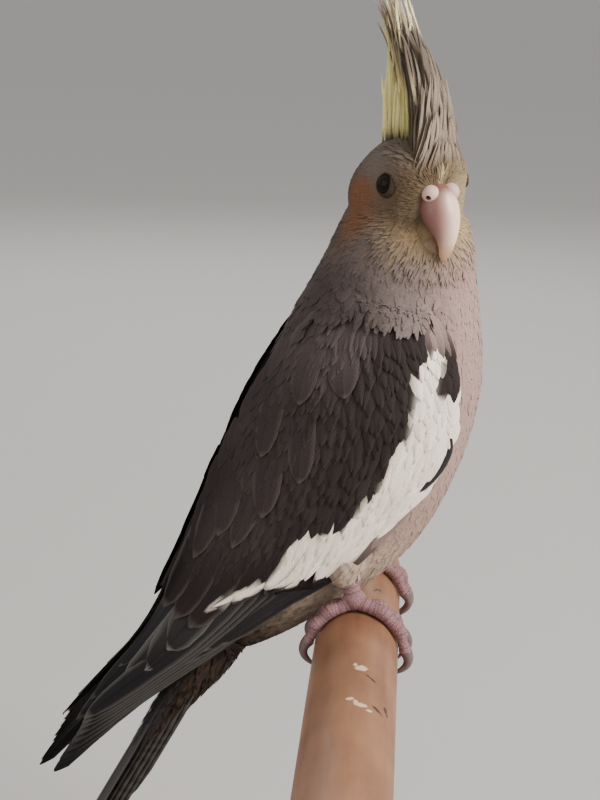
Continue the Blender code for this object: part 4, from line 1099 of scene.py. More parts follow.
def makeFlight(name, left, node):
    parts = []
    steps = np.concatenate([np.linspace(0, 0.8, 10), (0.86, 0.9, 0.935, 0.965, 0.985, 1.0)])
    jobs = []
    for row in flightRows:
        for k in range(row["count"]):
            share = k / (row["count"] - 1)
            root = np.array(row["roots"][0]) * (1 - share) + np.array(row["roots"][1]) * share
            tip = np.array(row["tips"][0]) * (1 - share) + np.array(row["tips"][1]) * share
            tip = tip + draw.uniform(-0.004, 0.004, 2)
            lifts = np.array(row["lifts"]) + row["rise"] * k
            jobs.append((root, tip, row["half"], lifts, row["bow"], row["rim"], row["tone"]))
    for root, tip, half, lifts, bow, rim in otherFlights:
        jobs.append((np.array(root), np.array(tip), half, np.array(lifts), bow, rim, "flight"))
    for root, tip, half, lifts, bow, rim, tone in jobs:
        outline = ragged(steps, featherShape, 0.04)
        grid, uv, place = wingVane(root, tip, half, lifts, steps, outline, "vane", bow)
        edge = edgeShare(place, 0.88, 0.98, steps, 0.965, 0.995)
        # painted sheen: the flight feathers are 3.2 times lighter towards the shoulder, standing in for grey
        # sheen on them; their tips keep the dark colour
        colour = mixColour(np.array(plumage[tone]) * 3.2, plumage[tone], ramp(uv[..., 0], 0.62, 0.82))
        colour = mixColour(colour, plumage["flightEdge"], edge * rim * ramp(uv[..., 0], 0.99, 0.90))
        colour = colour * (1 - 0.35 * (np.abs(place) < 0.02))[None, :, None]
        reach = np.linalg.norm(wingPoint(*tip) - wingPoint(*root))
        mark = np.stack(np.meshgrid(place * half, steps * reach), -1)
        parts.append((mirrored(grid, left), colour * draw.uniform(0.88, 1.12), mark, (root + tip) / 2))
    return joinVanes(name, parts, left, "vane", (node,))


def joinVanes(name, parts, left, finish, nodes=()):  # one mesh of a wing's feathers
    points, colours, marks, places = (np.array([part[k] for part in parts]) for k in range(4))
    if left:
        points, colours, marks = points[:, :, ::-1], colours[:, :, ::-1], marks[:, :, ::-1]
    mesh = weaveMesh(name, points, colours, marks, 0.02 + 0.96 * np.clip(places, 0, 1))
    print(name, len(parts), "feathers")
    return keepBirdPiece(name, mesh, finishes[finish], nodes)


def makeCoverts(name, left):
    steps = np.array((0, 0.2, 0.4, 0.58, 0.72, 0.83, 0.91, 0.96, 1.0))
    count = coverts["spots"]
    spots = np.stack([draw.uniform(*coverts["start"], count), draw.uniform(0.0, 1.0, count)], -1)
    keep = apart(wingPoint(spots[:, 0], spots[:, 1]), coverts["spacing"])
    parts = []
    for u, v in spots[keep]:
        size = float(np.interp(u, (0, 0.2, 0.5), (0.75, 1.0, 1.25)))
        turn = math.radians(draw.normal(coverts["turn"][0] * float(ramp(v, 0.0, 0.3)), coverts["turn"][1]))
        du, dv, _ = wingSlopes(u, v)
        way = unit(du) * math.cos(turn) - unit(dv) * math.sin(turn)
        shift = np.linalg.pinv(np.stack([du, dv], -1)) @ way
        length = coverts["length"] * size * draw.uniform(0.8, 1.2)
        half = coverts["half"] * size * draw.uniform(0.8, 1.15)
        root = np.array((u, v))
        tip = root + shift * length
        if tip[1] < -0.02 or tip[0] > coverts["end"][0] + coverts["end"][1] * draw.random():
            continue
        lifts = (coverts["root"], draw.uniform(*coverts["tips"]))
        outline = ragged(steps, softShape, 0.22)
        grid, uv, place = wingVane(root, tip, half, lifts, steps, outline, "blade", 0.0, 0.10, 0.05)
        middle = root + (tip - root) * 0.7
        uv = uv * 0.25 + middle * 0.75
        edge = edgeShare(place, 0.5, 1.0, steps, 0.9, 1.0)
        dark = 1 - whiteShare(*middle)
        cloud = 1 + 0.10 * math.sin(u * 41 + 5 * v) * math.sin(v * 19 + 7 * u)
        colour = wingColour(uv[..., 0], uv[..., 1]) * (1 + 0.16 * dark * edge[..., None])
        colour = colour * draw.uniform(0.93, 1.07) * cloud
        mark = np.stack(np.meshgrid(place * half, steps * length), -1)
        parts.append((mirrored(grid, left), colour, mark, middle))
    return joinVanes(name, parts, left, "soft")


def makeTertials(name, left):
    steps = np.concatenate([np.linspace(0, 0.8, 9), (0.86, 0.9, 0.935, 0.965, 0.985, 1.0)])
    parts = []
    for root, tip, half in tertials:
        outline = ragged(steps, covertShape, 0.04)
        lifts = tertialLook["lifts"]
        grid, uv, place = wingVane(root, tip, half, lifts, steps, outline, "vane", 0.0, 0.15, 0.07)
        edge = edgeShare(place, 0.72, 0.97, steps, 0.93, 0.99)
        colour = wingColour(uv[..., 0], uv[..., 1])
        colour = mixColour(colour, plumage["wingEdge"], edge * tertialLook["rim"])
        mark = np.stack(np.meshgrid(place * half, steps * tertialLook["length"]), -1)
        parts.append((mirrored(grid, left), colour, mark, (np.array(root) + tip) / 2))
    return joinVanes(name, parts, left, "soft")


for wingName, left in wingSides:
    makeFlight(f"wingFeathers_{wingName}", left, f"wing_{wingName}")
    makeCoverts(f"wingCoverts_{wingName}", left)
    makeTertials(f"wingTertials_{wingName}", left)
    bed = makeWingBed(f"wingBed_{wingName}", left, wingBed["height"], wingBed["thickness"])
    tintMesh(bed, lambda p: np.broadcast_to(np.array(plumage["wingDark"]) * wingBed["shade"], p.shape))
    keepBirdPiece(f"wingBed_{wingName}", bed, finishes["down"])

# Tail

tailPairs = (  # from the middle outwards: shortfall, side, rise, outer reach, fall in degrees
    (0.0, 0.9, 2.9, 4.6, 6.0), (9.0, 3.3, 1.5, 3.6, 14.0), (22.0, 4.5, 0.5, 3.5, 22.0),
    (38.0, 5.4, -0.6, 3.4, 30.0), (56.0, 6.0, -1.7, 3.3, 38.0), (76.0, 6.4, -2.8, 3.2, 46.0),
)


def tailFeather(pair, side):
    shorter, off, rise, outer, fall = tailPairs[pair]
    topmost = pair == 0 and side < 0
    rise -= 0.8 if pair == 0 and side > 0 else 0.0
    inner = off - 0.3 if pair else off + 2.2
    tone, barred = (plumage["tailTop"], 0.0) if topmost else (plumage["tailDark"], 0.45)
    steps = np.concatenate([np.linspace(0, 0.94, 84), (0.96, 0.98, 0.99, 1.0)])
    corners = sections["vane"]
    grid = np.empty((len(steps), len(corners), 3))
    tints = np.empty((len(steps), len(corners), 3))
    marks = np.empty((len(steps), len(corners), 2))
    length = tail["length"] - shorter - tail["rootReach"]
    fallTurn = math.radians(fall)
    for i, step in enumerate(steps):
        reach = tail["rootReach"] + length * step
        extra = 2.6 * (1 - step) if topmost else 0.0
        half = float(np.interp(step, (0, 0.3, 0.72, 0.88, 0.95, 1), (0.45, 0.9, 1.0, 0.8, 0.52, 0.1)))
        for j, (place, height) in enumerate(corners):
            wide = place * half * (outer + extra if place > 0 else inner)
            drop = max(wide, 0.0) * math.sin(fallTurn)
            out = wide * math.cos(fallTurn) if wide > 0 else wide
            high = rise * (1 - 0.16 * step) - drop + 0.2 * height
            grid[i, j] = (reach - 0.25 * abs(wide), side * (off + out), high)
            bar = 0.5 + 0.5 * math.sin(reach * 1.3 + abs(place) * 2.0 + 2.0 * math.sin(reach * 0.37 + pair))
            tints[i, j] = mixColour(tone, plumage["tailBar"], bar * barred)
            if abs(place) > 0.9:
                tints[i, j] = mixColour(tints[i, j], plumage["flightEdge"], 0.3)
            marks[i, j] = (wide, reach)
    points = fromTail(grid)
    if side > 0:
        return points, tints, marks
    return points[:, ::-1], tints[:, ::-1], marks[:, ::-1]


def makeTail():
    made = [tailFeather(pair, side) for pair in range(len(tailPairs)) for side in (-1, 1)]
    points, tints, marks = (np.array([feather[k] for feather in made]) for k in range(3))
    bakes = np.array([(0.1 + 0.07 * k, 0.5) for k in range(len(made))])
    mesh = weaveMesh("tailFeathers", points, tints, marks, bakes)
    return keepBirdPiece("tailFeathers", mesh, finishes["vane"], ("tail",))


makeTail()

tailCore = (  # under the tail's coverts: reach, half width, half depth, height
    (30.0, 8.0, 6.8, -3.4), (44.0, 7.8, 4.8, -1.4), (58.0, 6.6, 3.4, -0.4), (70.0, 4.6, 2.0, 0.0),
)
tailBed = {"sides": 32, "rootInset": 1.2, "inset": 0.8, "shade": 0.8}
tailCoat = {"spacing": 1.15, "length": 7.5, "half": 0.85, "height": 1.1}


def makeTailBed():  # the tail's body under its coverts
    bm = bmesh.new()
    sides, inset = tailBed["sides"], tailBed["inset"]
    angles = np.arange(sides) * 2 * math.pi / sides
    rings = [bodyRing(0.0, tailBed["rootInset"], sides)]
    for t in np.linspace(0, len(tailCore) - 1, 9):
        reach, wide, deep, middle = along(tailCore, t)
        rings.append(fromTail(np.stack([np.full(sides, reach), np.sin(angles) * (wide - inset),
                                        np.cos(angles) * (deep - inset) + middle], 1)))
    ringTube(bm, rings)
    mesh = meshOf(bm, "tailBed", outward=True)
    roots = spreadRoots(mesh, tailCoat["spacing"], lambda p: np.ones(len(p)))
    growCoat("tailCoverts", treeOf(mesh), roots, "soft", tailCoat["length"], tailCoat["half"],
             tailCoat["height"])
    tintMesh(mesh, lambda p: coatColour(p) * tailBed["shade"])
    return keepBirdPiece("tailBed", mesh, finishes["down"])


makeTailBed()
print("tail done")

# Crest

crestRows = (  # from the forehead back: place, count, length, spread, leans, half width, yellow
    (15.5, 38, 10.0, 10.5, (-10.0, 4.0), 0.70, 0.0), (13.5, 40, 17.0, 10.5, (-9.0, 12.0), 0.75, 0.0),
    (11.5, 40, 25.0, 9.6, (-9.0, 24.0), 0.75, 0.0), (9.0, 38, 33.0, 7.6, (-8.0, 42.0), 0.80, 0.0),
    (6.5, 36, 39.0, 6.0, (-5.0, 50.0), 0.80, 0.0), (4.0, 32, 44.0, 5.4, (-2.0, 54.0), 0.80, 0.3),
    (1.0, 34, 49.0, 5.2, (1.0, 52.0), 0.75, 0.85), (-2.0, 32, 46.0, 5.4, (2.0, 38.0), 0.68, 0.95),
    (-4.5, 32, 40.0, 5.7, (2.0, 26.0), 0.68, 1.0), (-7.0, 28, 33.0, 5.8, (4.0, 18.0), 0.68, 1.0),
    (-9.5, 24, 25.0, 5.6, (7.0, 18.0), 0.68, 0.8),
)


crestShape = {"thickness": 0.06, "camber": 0.12, "skew": -0.15, "sunk": 2.0, "tones": (0.86, 1.14)}


def makeCrest():
    steps = np.concatenate([np.linspace(0, 0.85, 12), (0.91, 0.96, 1.0)])
    centres, ways, ups, kinds, roots = [], [], [], [], []
    for place, count, length, spread, (lean, lastLean), half, yellow in crestRows:
        for side in np.linspace(-1, 1, count):
            side = side + draw.uniform(-0.06, 0.06)
            root = skullPoint((place + 3.0 + draw.uniform(-1.2, 1.2), side * spread, 17.0), 1.2)
            reach = length * draw.uniform(0.84, 1.05) * (1 - 0.10 * side**2)
            twist = math.radians(draw.uniform(-18, 18) + 22 * side)
            across = np.array([math.sin(twist), math.cos(twist), 0.0])
            wobble = draw.normal(0, 3.0 + 1.2 * yellow)
            laid = 40.0 * float(ramp(place, 5.0, 12.0)) * ramp(steps, 0.4, 0.0)
            wave = np.sin(2 * math.pi * (steps * draw.uniform(0.7, 1.3) + draw.random()))
            bent = draw.normal(0, 5.0) * wave
            angles = np.radians(lean + wobble + (lastLean - lean) * steps + laid + bent)
            sway = -0.42 * side * spread / length + draw.normal(0, 0.06) * wave
            headings = unit(np.stack([-np.sin(angles), sway, np.cos(angles)], -1))
            moves = headings * (reach * np.diff(steps, prepend=0.0))[:, None]
            moves[0] = headings[0] * -crestShape["sunk"]
            centres.append(fromHead(root + np.cumsum(moves, 0)))
            ways.append(headings @ headTurn.T)
            ups.append(unit(np.cross(across[None, :], headings)) @ headTurn.T)
            chance = yellow + 0.6 * (place < 8.0) * (abs(side) > 0.35)
            shade = 1 - 0.5 * math.exp(-(((place - 6.5) / 3.5) ** 2))
            kinds.append((float(draw.random() < chance), reach, half, shade, 0.85 if place < 0 else 0.35))
            roots.append(fromHead(root))
    centres, ways, ups = np.array(centres), np.array(ways), np.array(ups)
    yellow, reach, half, shade, fade = np.array(kinds).T
    count, rows = centres.shape[:2]
    outline = np.interp(steps, (0, 0.2, 0.5, 0.8, 0.93, 1), (0.4, 1.0, 0.95, 0.62, 0.35, 0.06))
    halves = half[:, None] * outline[None, :] * draw.uniform(0.80, 1.10, (count, rows))
    points, places = growVanes(centres, ways, ups, halves, "blade", crestShape["thickness"],
                               crestShape["camber"], crestShape["skew"])
    share = yellow[:, None] * ramp(steps, 0.02, 0.12)[None, :]
    share = share * np.clip((fade[:, None] + 0.3 - steps[None, :]) / 0.3, 0, 1)
    # the crest's yellow holds painted light as well as its own colour
    tints = mixColour(np.array(plumage["crestGrey"]) * shade[:, None, None], plumage["crestYellowWithPaintedLight"], share)
    base = coatColour(np.array(roots))[:, None, :] * 1.1
    tints = mixColour(base, tints, ramp(steps[None, :] * reach[:, None], 1.0, 8.0))[:, :, None, :]
    tints = tints * draw.uniform(*crestShape["tones"], count)[:, None, None, None]
    shaft = 1 + 0.35 * (places == 0) + 0.12 * (np.abs(places) > 0.9)
    tints = np.broadcast_to(tints * shaft[None, None, :, None], points.shape)
    marks = np.zeros((*points.shape[:3], 2))
    marks[..., 0] = places * halves[..., None]
    marks[..., 1] = (steps[None, :] * reach[:, None])[..., None]
    mesh = weaveMesh("crestFeathers", points, tints, marks, bodyUnwrap(np.array(roots)))
    print("crest", count, "feathers")
    return keepBirdPiece("crestFeathers", mesh, finishes["crest"])


makeCrest()

# Bill, cere and eyes

bill = {  # from the root to the tip: top (x, z), underside (x, z), half width
    "upper": (
        ((9.5, 4.6), (7.0, -7.0), 4.6), ((13.8, 4.6), (10.5, -8.0), 5.3), ((17.5, 2.6), (13.6, -9.0), 5.3),
        ((19.9, -1.6), (15.6, -10.0), 4.6), ((21.0, -6.5), (17.0, -11.0), 3.6),
        ((21.0, -10.6), (17.8, -12.8), 2.6), ((20.2, -13.8), (17.8, -15.0), 1.9),
        ((19.0, -16.4), (18.0, -16.8), 0.8),
    ),
    "lower": (
        ((6.0, -6.0), (5.0, -13.6), 3.8), ((9.5, -7.5), (8.5, -14.8), 4.4),
        ((12.8, -9.5), (11.5, -15.6), 4.6), ((15.4, -10.4), (14.6, -15.9), 4.1),
        ((17.0, -12.0), (16.6, -15.5), 2.5),
    ),
    "pinch": 0.18,
    "fullness": 1.03,
}
# the ridge colour is partly the bill's pale ridge, partly painted highlight on the side toward the window
# light
horn = {"side": (0.225, 0.100, 0.083), "ridgeAndHighlight": (0.950, 0.690, 0.550), "tip": (0.500, 0.300, 0.165),
        "low": (0.240, 0.145, 0.085)}


def billColour(points):  # flesh pink, paler along the ridge and at the tip; the pale ridge spreads over the side facing the window light as painted highlight
    h = intoHead(points)
    # pale ridge and painted highlight on the side toward the window light
    ridgeAndHighlight = ramp(h[:, 1], -4.4, 2.4) * ramp(h[:, 0] - 0.35 * h[:, 2], 14.0, 18.0)
    colour = mixColour(horn["side"], horn["ridgeAndHighlight"], ridgeAndHighlight)
    colour = mixColour(colour, horn["tip"], ramp(h[:, 2], -8.5, -15.0) * ramp(h[:, 0], 15.5, 18.5))
    return mixColour(colour, horn["low"], ramp(h[:, 2], -8.5, -10.5) * ramp(h[:, 0], 17.6, 16.8))


def makeBillHalf(name, part, node):
    bm = bmesh.new()
    rings = []
    angles = np.arange(36) * 2 * math.pi / 36
    for t in np.linspace(0, len(bill[part]) - 1, 30):
        values = along([(*top, *under, wide) for top, under, wide in bill[part]], t)
        top, under = np.array([values[0], 0.0, values[1]]), np.array([values[2], 0.0, values[3]])
        pinch = 1 - bill["pinch"] * np.maximum(0, np.cos(angles)) ** 2
        ring = np.cos(angles)[:, None] * (top - under) / 2
        ring = ring + (np.sin(angles) * pinch)[:, None] * np.array([0.0, values[4] * bill["fullness"], 0.0])
        rings.append(fromHead((top + under) / 2 + ring))
    ringTube(bm, rings)
    mesh = meshOf(bm, name, outward=True)
    tintMesh(mesh, billColour)
    return keepBirdPiece(name, mesh, finishes["bill"], (node,))


makeBillHalf("billUpper", "upper", "bill_upper")
makeBillHalf("billLower", "lower", "bill_lower")

cere = {  # lumps with their half sizes, right nostril, colours and form
    "lumps": (((12.2, 0.0, 2.6), (3.2, 4.2, 1.9)), ((14.0, -3.4, 2.0), (2.7, 2.5, 2.5)),
              ((14.0, 3.4, 2.0), (2.7, 2.5, 2.5))),
    "hole": (15.75, 5.35, 1.2),
    "holeEnd": (13.6, 3.2, 2.2),
    "holeRadius": 0.72,
    "skin": (0.660, 0.440, 0.385),
    # painted shade inside the nostril holes
    "dark": (0.055, 0.022, 0.020),
    "voxel": 0.16,
    "rounds": 8,
    "holeDepth": 1.5,
    "lipHeight": 0.12,
}


def makeCere():
    bm = bmesh.new()
    for centre, radii in cere["lumps"]:
        ball = bmesh.ops.create_uvsphere(bm, u_segments=32, v_segments=20, radius=1.0)["verts"]
        for vert in ball:
            vert.co = fromHead(np.array(vert.co) * radii + centre)
    mesh = melted(meshOf(bm, "cere"), cere["voxel"], cere["rounds"])
    spots = intoHead(np.array([vert.co for vert in mesh.vertices]))
    dark = np.zeros(len(spots))
    for side in (-1, 1):
        hole, end = np.array(cere["hole"]), np.array(cere["holeEnd"])
        hole[1], end[1] = hole[1] * side, end[1] * side
        away = np.linalg.norm(np.cross(spots - hole, unit(end - hole)), axis=1)
        near = np.linalg.norm(spots - hole, axis=1) < 2.0
        deep = ramp(away, cere["holeRadius"] * 1.15, cere["holeRadius"] * 0.6) * near
        lip = cere["lipHeight"] * np.exp(-((away - 1.0) / 0.25) ** 2) * near
        spots = spots + unit(end - hole) * (cere["holeDepth"] * deep)[:, None]
        spots = spots - unit(end - hole) * lip[:, None]
        # painted shade inside the nostrils
        dark = np.maximum(dark, ramp(away, cere["holeRadius"] * 1.2, cere["holeRadius"] * 0.75) * near)
    mesh.vertices.foreach_set("co", fromHead(spots).ravel())
    tintMesh(mesh, lambda p: mixColour(cere["skin"], cere["dark"], dark))
    return keepBirdPiece("cereSkin", mesh, finishes["cere"], ("cere",))


makeCere()

eyeBall = {"radius": 3.7, "out": (4.6, 13.6, 5.0)}
lids = {  # outline above and before the eye: how far from its middle line and how high over its centre
    "above": ((2.70, 2.60), (2.76, 2.80), (2.95, 2.80), (3.25, 2.40), (3.55, 1.60), (3.75, 0.80),
              (3.50, 0.50), (3.20, 1.40), (2.85, 2.20)),
    "before": ((2.05, 3.12), (2.12, 3.24), (2.60, 2.98), (3.15, 2.35), (3.55, 1.50), (3.75, 0.70),
               (3.50, 0.50), (2.90, 1.60), (2.20, 2.78)),
    "crease": 0.03,
    "creases": 16,
}


def makeEye(name, side, node):
    bm = bmesh.new()
    bmesh.ops.create_uvsphere(bm, u_segments=40, v_segments=28, radius=eyeBall["radius"])
    ball = meshOf(bm, name, toWorld @ Matrix.Translation(eyes[side]))
    keepPiece(name, ball, finishes["eye"], (node,))
    out = unit((np.array(eyeBall["out"]) * (1, side, 1)) @ headTurn.T)
    ahead = unit(np.cross(out, (0.0, 0.0, 1.0)))
    above = np.cross(ahead, out)
    rings = []
    for a in np.linspace(0, 2 * math.pi, 64, endpoint=False):
        around = math.cos(a) * ahead + math.sin(a) * above
        outline = mixColour(lids["before"], lids["above"], np.full(len(lids["above"]), math.sin(a) ** 2))
        crease = lids["crease"] * math.sin(lids["creases"] * a)
        rings.append([eyes[side] + around * (far + crease) + out * high for far, high in outline])
    ring = bmesh.new()
    ringTube(ring, rings + [rings[0]], caps=(False, False))
    bmesh.ops.remove_doubles(ring, verts=ring.verts, dist=0.001)
    lid = meshOf(ring, f"{name}Lid", toWorld, outward=True)
    return keepPiece(f"{name}Lid", lid, finishes["lid"])


makeEye("eyeRight", -1, "eye_right")
makeEye("eyeLeft", 1, "eye_left")
print("head done")

# Feet and claws

toes = {  # first and last angle round the dowel, spread and thickness
    "outer_front": (88.0, 6.0, 3.4, 2.1),
    "inner_front": (88.0, 16.0, -3.6, 1.9),
    "outer_back": (100.0, 168.0, 3.4, 2.0),
    "inner_back": (100.0, 150.0, -3.2, 1.8),
}
claw = {"turn": 34.0, "overlap": 2.0, "tip": 0.2, "arch": 1.4, "share": 0.9}
scutes = {"sides": 20, "depth": 0.045}
# the groove tone is painted shade in the furrows between scutes
footTones = {"top": (0.265, 0.132, 0.140), "groove": (0.150, 0.074, 0.076)}


def toeRadius(thick, s):  # of a toe's pads, from its root (0) to its claw (1)
    return thick * (1.06 - 0.24 * s + 0.10 * math.cos(s * 6 * math.pi))


def makeFoot(name, side, node):  # toes with a groove between one scute and the next
    bm = bmesh.new()
    shade = bm.verts.layers.float_color.new("tint")

    def ringed(path, radii, grooves, axis):
        start = len(bm.verts)
        rings = tubeRings(path, np.array(radii) * (1 - scutes["depth"] * grooves), scutes["sides"], axis)
        ringTube(bm, rings)
        bm.verts.ensure_lookup_table()
        for k, vert in enumerate(bm.verts[start:]):
            deep = grooves[min(k // scutes["sides"], len(grooves) - 1)]
            # painted shade in the grooves between scutes
            vert[shade] = (*mixColour(footTones["top"], footTones["groove"], deep), 1.0)

    ball = bmesh.ops.create_uvsphere(bm, u_segments=24, v_segments=16, radius=leg["hubRadius"])["verts"]
    bmesh.ops.translate(bm, verts=ball, vec=hubPoint(side))
    for vert in ball:
        vert[shade] = (*footTones["top"], 1.0)
    rises = np.linspace(-1, leg["ankle"] + 1.5, 22)
    grooves = np.exp(-((rises % 1.6 - 0.8) / 0.22) ** 2)
    ringed([anklePoint(side, rise) for rise in rises], np.linspace(2.9, 2.5, 22), grooves, (0.0, 1.0, 0.0))
    for start, end, spread, thick in toes.values():
        share = np.linspace(0, 1, 90)
        path = [roundPerch(start + (end - start) * s, side * leg["stance"] + side * spread * math.sqrt(s),
                           soleRadius + toeRadius(thick, s)) for s in share]
        beat = (share * abs(end - start) * 0.26 / 1.2 + 0.3 * np.sin(share * 23)) % 1.0
        grooves = np.exp(-((beat - 0.5) / 0.13) ** 2)
        ringed(path, [toeRadius(thick, s) for s in share], grooves, perchAxis)
    mesh = meshOf(bm, name, toWorld, outward=True)
    return keepPiece(name, mesh, finishes["foot"], (node,))


def makeClaw(name, side, toe, node):
    start, end, spread, thick = toes[toe]
    way = math.copysign(1.0, end - start)
    root = toeRadius(thick, 1.0) * claw["share"]
    middle = side * leg["stance"] + side * spread
    path, radii = [], []
    for s in np.linspace(0, 1, 18):
        radius = root * (1 - s) ** 0.8 + claw["tip"]
        rise = claw["arch"] * math.sin(math.pi * min(1.0, s * 1.2))
        angle = end + way * (claw["turn"] * s - claw["overlap"])
        path.append(roundPerch(angle, middle, soleRadius + radius + rise))
        radii.append(radius)
    bm = bmesh.new()
    ringTube(bm, tubeRings(path, radii, 16, perchAxis))
    mesh = meshOf(bm, name, toWorld, outward=True)
    return keepPiece(name, mesh, finishes["claw"], (node,))


for sideName, side in (("right", -1), ("left", 1)):
    makeFoot(f"footSkin_{sideName}", side, f"foot_{sideName}")
    for toe in toes:
        makeClaw(f"claw_{sideName}_{toe}_horn", side, toe, f"claw_{sideName}_{toe}")
print("feet done")

# Perch and stand

perch = {"radius": 0.0125, "near": -0.094, "far": 0.091, "height": 0.132, "x": 0.012, "rim": 0.001}
wood = {
    "tones": ((0.3, (0.155, 0.067, 0.032)), (0.75, (0.350, 0.168, 0.087))),
    "grainShare": 0.4,
    "stretch": (1.0, 0.12, 1.0),
    "roughness": 0.5,
    "coat": 0.05,
}
wear = {
    "fray": 0.0016,
    "edge": (1.15, 0.85),
    "chip": (0.66, 0.50, 0.32),
    "crack": (0.050, 0.025, 0.012),
    "marks": (  # place in metres, turn in degrees, half sizes in millimetres, pale chip or dark crack
        ((0.0148, -0.0155, 0.1444), -50.0, (1.5, 2.3, 1.0), True),
        ((0.0128, -0.0140, 0.1445), 0.0, (0.6, 1.0, 0.8), True),
        ((0.0172, -0.0200, 0.1433), 50.0, (0.5, 2.4, 1.2), False),
        ((0.0151, -0.0380, 0.1442), -80.0, (1.0, 1.9, 1.2), True),
        ((0.0122, -0.0355, 0.1445), -60.0, (0.7, 1.2, 0.8), True),
        ((0.0136, -0.0368, 0.1444), 0.0, (0.6, 1.0, 0.8), True),
        ((0.0174, -0.0395, 0.1433), -70.0, (0.6, 1.0, 1.0), True),
        ((0.0196, -0.0365, 0.1421), 60.0, (0.7, 2.6, 1.6), False),
        ((0.0216, -0.0330, 0.1400), 10.0, (0.5, 2.4, 1.4), False),
        ((0.0175, 0.0447, 0.1432), -30.0, (0.4, 3.2, 1.2), False),
        ((0.0178, 0.0447, 0.1430), 70.0, (0.4, 1.6, 1.2), False),
    ),
}


def makeWear():  # group that gives the places of the varnish's chips and cracks
    group, _, leave = newGroup("wear", (), ("Chips", "Cracks"))
    place = addNode(group, "ShaderNodeTexCoord")
    frayed = addNode(group, "ShaderNodeTexNoise", Scale=900.0, Detail=3.0)
    reach = addNode(group, "ShaderNodeVectorMath", operation="MULTIPLY_ADD")
    shifted = addNode(group, "ShaderNodeVectorMath", operation="SUBTRACT")
    reach.inputs[1].default_value = (wear["fray"],) * 3
    shifted.inputs[1].default_value = (wear["fray"] / 2,) * 3
    wire(group, (place, "Object", frayed, "Vector"), (frayed, "Color", reach, 0),
         (place, "Object", reach, 2), (reach, 0, shifted, 0))
    last = {True: None, False: None}
    for spot, turn, halves, pale in wear["marks"]:
        local = addNode(group, "ShaderNodeMapping", vector_type="TEXTURE")
        local.inputs["Location"].default_value = spot
        local.inputs["Rotation"].default_value = (0.0, 0.0, math.radians(turn))
        local.inputs["Scale"].default_value = [half / 1000 for half in halves]
        away = addNode(group, "ShaderNodeVectorMath", operation="LENGTH")
        inside = addNode(group, "ShaderNodeMapRange")
        inside.inputs["From Min"].default_value = wear["edge"][0]
        inside.inputs["From Max"].default_value = wear["edge"][1]
        wire(group, (shifted, 0, local, "Vector"), (local, "Vector", away, 0),
             (away, "Value", inside, "Value"))
        result = inside.outputs["Result"]
        if last[pale]:
            both = addNode(group, "ShaderNodeMath", operation="MAXIMUM")
            group.links.new(last[pale], both.inputs[0])
            group.links.new(result, both.inputs[1])
            result = both.outputs[0]
        last[pale] = result
    group.links.new(last[True], leave.inputs["Chips"])
    group.links.new(last[False], leave.inputs["Cracks"])
    return group


def woodFinish():
    made = plainFinish("varnished wood", wood["tones"][0][1], wood["roughness"], coat=wood["coat"])
    tree = made.node_tree
    shader = tree.nodes["Principled BSDF"]
    place = addNode(tree, "ShaderNodeTexCoord")
    stretch = addNode(tree, "ShaderNodeMapping")
    stretch.inputs["Scale"].default_value = wood["stretch"]
    grain = addNode(tree, "ShaderNodeTexNoise", Scale=260.0, Detail=6.0)
    cloud = addNode(tree, "ShaderNodeTexNoise", Scale=45.0, Detail=4.0)
    tone = addNode(tree, "ShaderNodeValToRGB")
    for element, (position, colour) in zip(tone.color_ramp.elements, wood["tones"]):
        element.position = position
        element.color = (*colour, 1.0)
    both = addNode(tree, "ShaderNodeMath", operation="MULTIPLY_ADD")
    half = addNode(tree, "ShaderNodeMath", operation="MULTIPLY")
    both.inputs[1].default_value = wood["grainShare"]
    half.inputs[1].default_value = 1.0 - wood["grainShare"]
    worn = addNode(tree, "ShaderNodeGroup", node_tree=makeWear())
    chipped = addNode(tree, "ShaderNodeMix", data_type="RGBA")
    chipped.inputs["B"].default_value = (*wear["chip"], 1.0)
    cracked = addNode(tree, "ShaderNodeMix", data_type="RGBA")
    cracked.inputs["B"].default_value = (*wear["crack"], 1.0)
    hollow = addNode(tree, "ShaderNodeMath", operation="ADD")
    level = addNode(tree, "ShaderNodeMath", operation="MULTIPLY_ADD")
    level.inputs[1].default_value = -2.0
    relief = addNode(tree, "ShaderNodeBump", Strength=0.3, Distance=reliefDepth["skin"])
    wire(
        tree,
        (place, "Object", stretch, "Vector"), (stretch, "Vector", grain, "Vector"),
        (place, "Object", cloud, "Vector"), (grain, "Fac", both, 0), (cloud, "Fac", half, 0),
        (half, 0, both, 2), (both, 0, tone, "Fac"), (tone, "Color", chipped, "A"),
        (worn, "Chips", chipped, "Factor"), (chipped, "Result", cracked, "A"),
        (worn, "Cracks", cracked, "Factor"), (cracked, "Result", shader, "Base Color"),
        (worn, "Chips", hollow, 0), (worn, "Cracks", hollow, 1), (hollow, 0, level, 0),
        (grain, "Fac", level, 2), (level, 0, relief, "Height"), (relief, "Normal", shader, "Normal"),
    )
    return made


def makePerch():
    bm = bmesh.new()
    length = perch["far"] - perch["near"]
    place = Matrix.Translation((perch["x"], (perch["far"] + perch["near"]) / 2, perch["height"]))
    bmesh.ops.create_cone(bm, cap_ends=True, segments=96, radius1=perch["radius"], radius2=perch["radius"],
                          depth=length, matrix=place @ Matrix.Rotation(math.radians(90), 4, "X"))
    rims = [e for e in bm.edges if abs(e.verts[0].co.y - e.verts[1].co.y) < 0.001]
    bmesh.ops.bevel(bm, geom=rims, offset=perch["rim"], segments=3, profile=0.5, affect="EDGES", material=-1)
    mesh = meshOf(bm, "perchWood")
    mesh.set_sharp_from_angle(angle=math.radians(40))
    return keepPiece("perchWood", mesh, woodFinish(), ("perch",))


makePerch()
for node, finish, slot in (("stand_base", "base", "base_wood"), ("stand_rod_front", "rod", "rod_steel"),
                           ("stand_rod_back", "rod", "rod_steel")):
    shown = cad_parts[node]
    shown.data.materials.clear()
    shown.data.materials.append(finishes[finish])
print("perch and stand done")

# Floor, light and camera

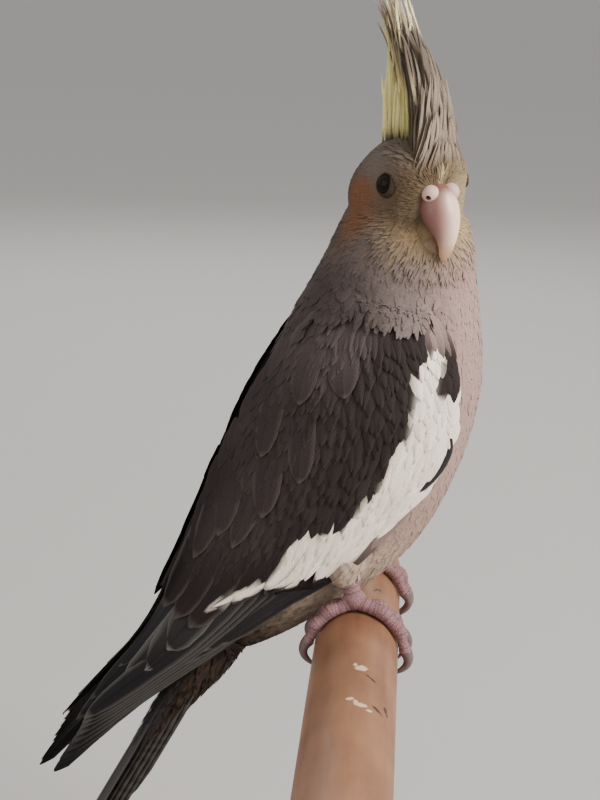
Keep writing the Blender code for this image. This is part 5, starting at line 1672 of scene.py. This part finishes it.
studio = {
    "floor": (0.46, 0.45, 0.44),
    "floorHalf": 40.0,
    "sky": (0.95, 0.93, 0.91, 1.0),
    "skyStrength": 0.72,
    "aim": (0.0, 0.0, 0.2),
    "lights": (  # name, place, size, power, colour
        ("window light", (1.1, -0.45, 0.9), 0.8, 34.0, (1.0, 0.95, 0.90)),
        ("fill light", (-1.2, -0.8, 0.7), 1.2, 5.0, (1.0, 0.95, 0.90)),
        ("back light", (-0.2, 1.3, 1.0), 1.0, 9.0, (1.0, 0.97, 0.93)),
    ),
}
camera = {  # film height and lens in millimetres, place in metres and the picture's directions
    "film": 24.0,
    "lens": 48.0,
    "place": (0.0206, -0.4172, 0.3265),
    "right": Vector((0.99694, 0.07132, 0.03203)),
    "down": Vector((0.04933, -0.25608, -0.96539)),
    "ahead": Vector((-0.06065, 0.96402, -0.25882)),
}


def makeStage():
    bm = bmesh.new()
    bmesh.ops.create_grid(bm, x_segments=2, y_segments=2, size=studio["floorHalf"])
    floor = bpy.data.objects.new("floor", meshOf(bm, "floor"))
    bpy.context.scene.collection.objects.link(floor)
    floor.data.materials.append(plainFinish("pale floor", studio["floor"], 0.9))
    world = bpy.context.scene.world or bpy.data.worlds.new("studio")
    bpy.context.scene.world = world
    world.use_nodes = True
    world.node_tree.nodes["Background"].inputs[0].default_value = studio["sky"]
    world.node_tree.nodes["Background"].inputs[1].default_value = studio["skyStrength"]
    for name, place, size, power, colour in studio["lights"]:
        lamp = bpy.data.lights.new(name, "AREA")
        lamp.size = size
        lamp.energy = power
        lamp.color = colour
        lampObject = bpy.data.objects.new(name, lamp)
        lampObject.location = place
        way = Vector(studio["aim"]) - Vector(place)
        lampObject.rotation_euler = way.to_track_quat("-Z", "Y").to_euler()
        bpy.context.scene.collection.objects.link(lampObject)


def makeCamera():
    view = bpy.data.cameras.new("camera")
    view.sensor_fit = "VERTICAL"
    view.sensor_height = camera["film"]
    view.lens = camera["lens"]
    view.clip_start = 0.01
    viewer = bpy.data.objects.new("camera", view)
    placed = Matrix((camera["right"], -camera["down"], -camera["ahead"])).transposed().to_4x4()
    placed.translation = camera["place"]
    viewer.matrix_world = placed
    bpy.context.scene.collection.objects.link(viewer)
    bpy.context.scene.camera = viewer


makeStage()
makeCamera()
print("stage done")


def corners(box):
    return [[float(value) for value in corner] for corner in box]
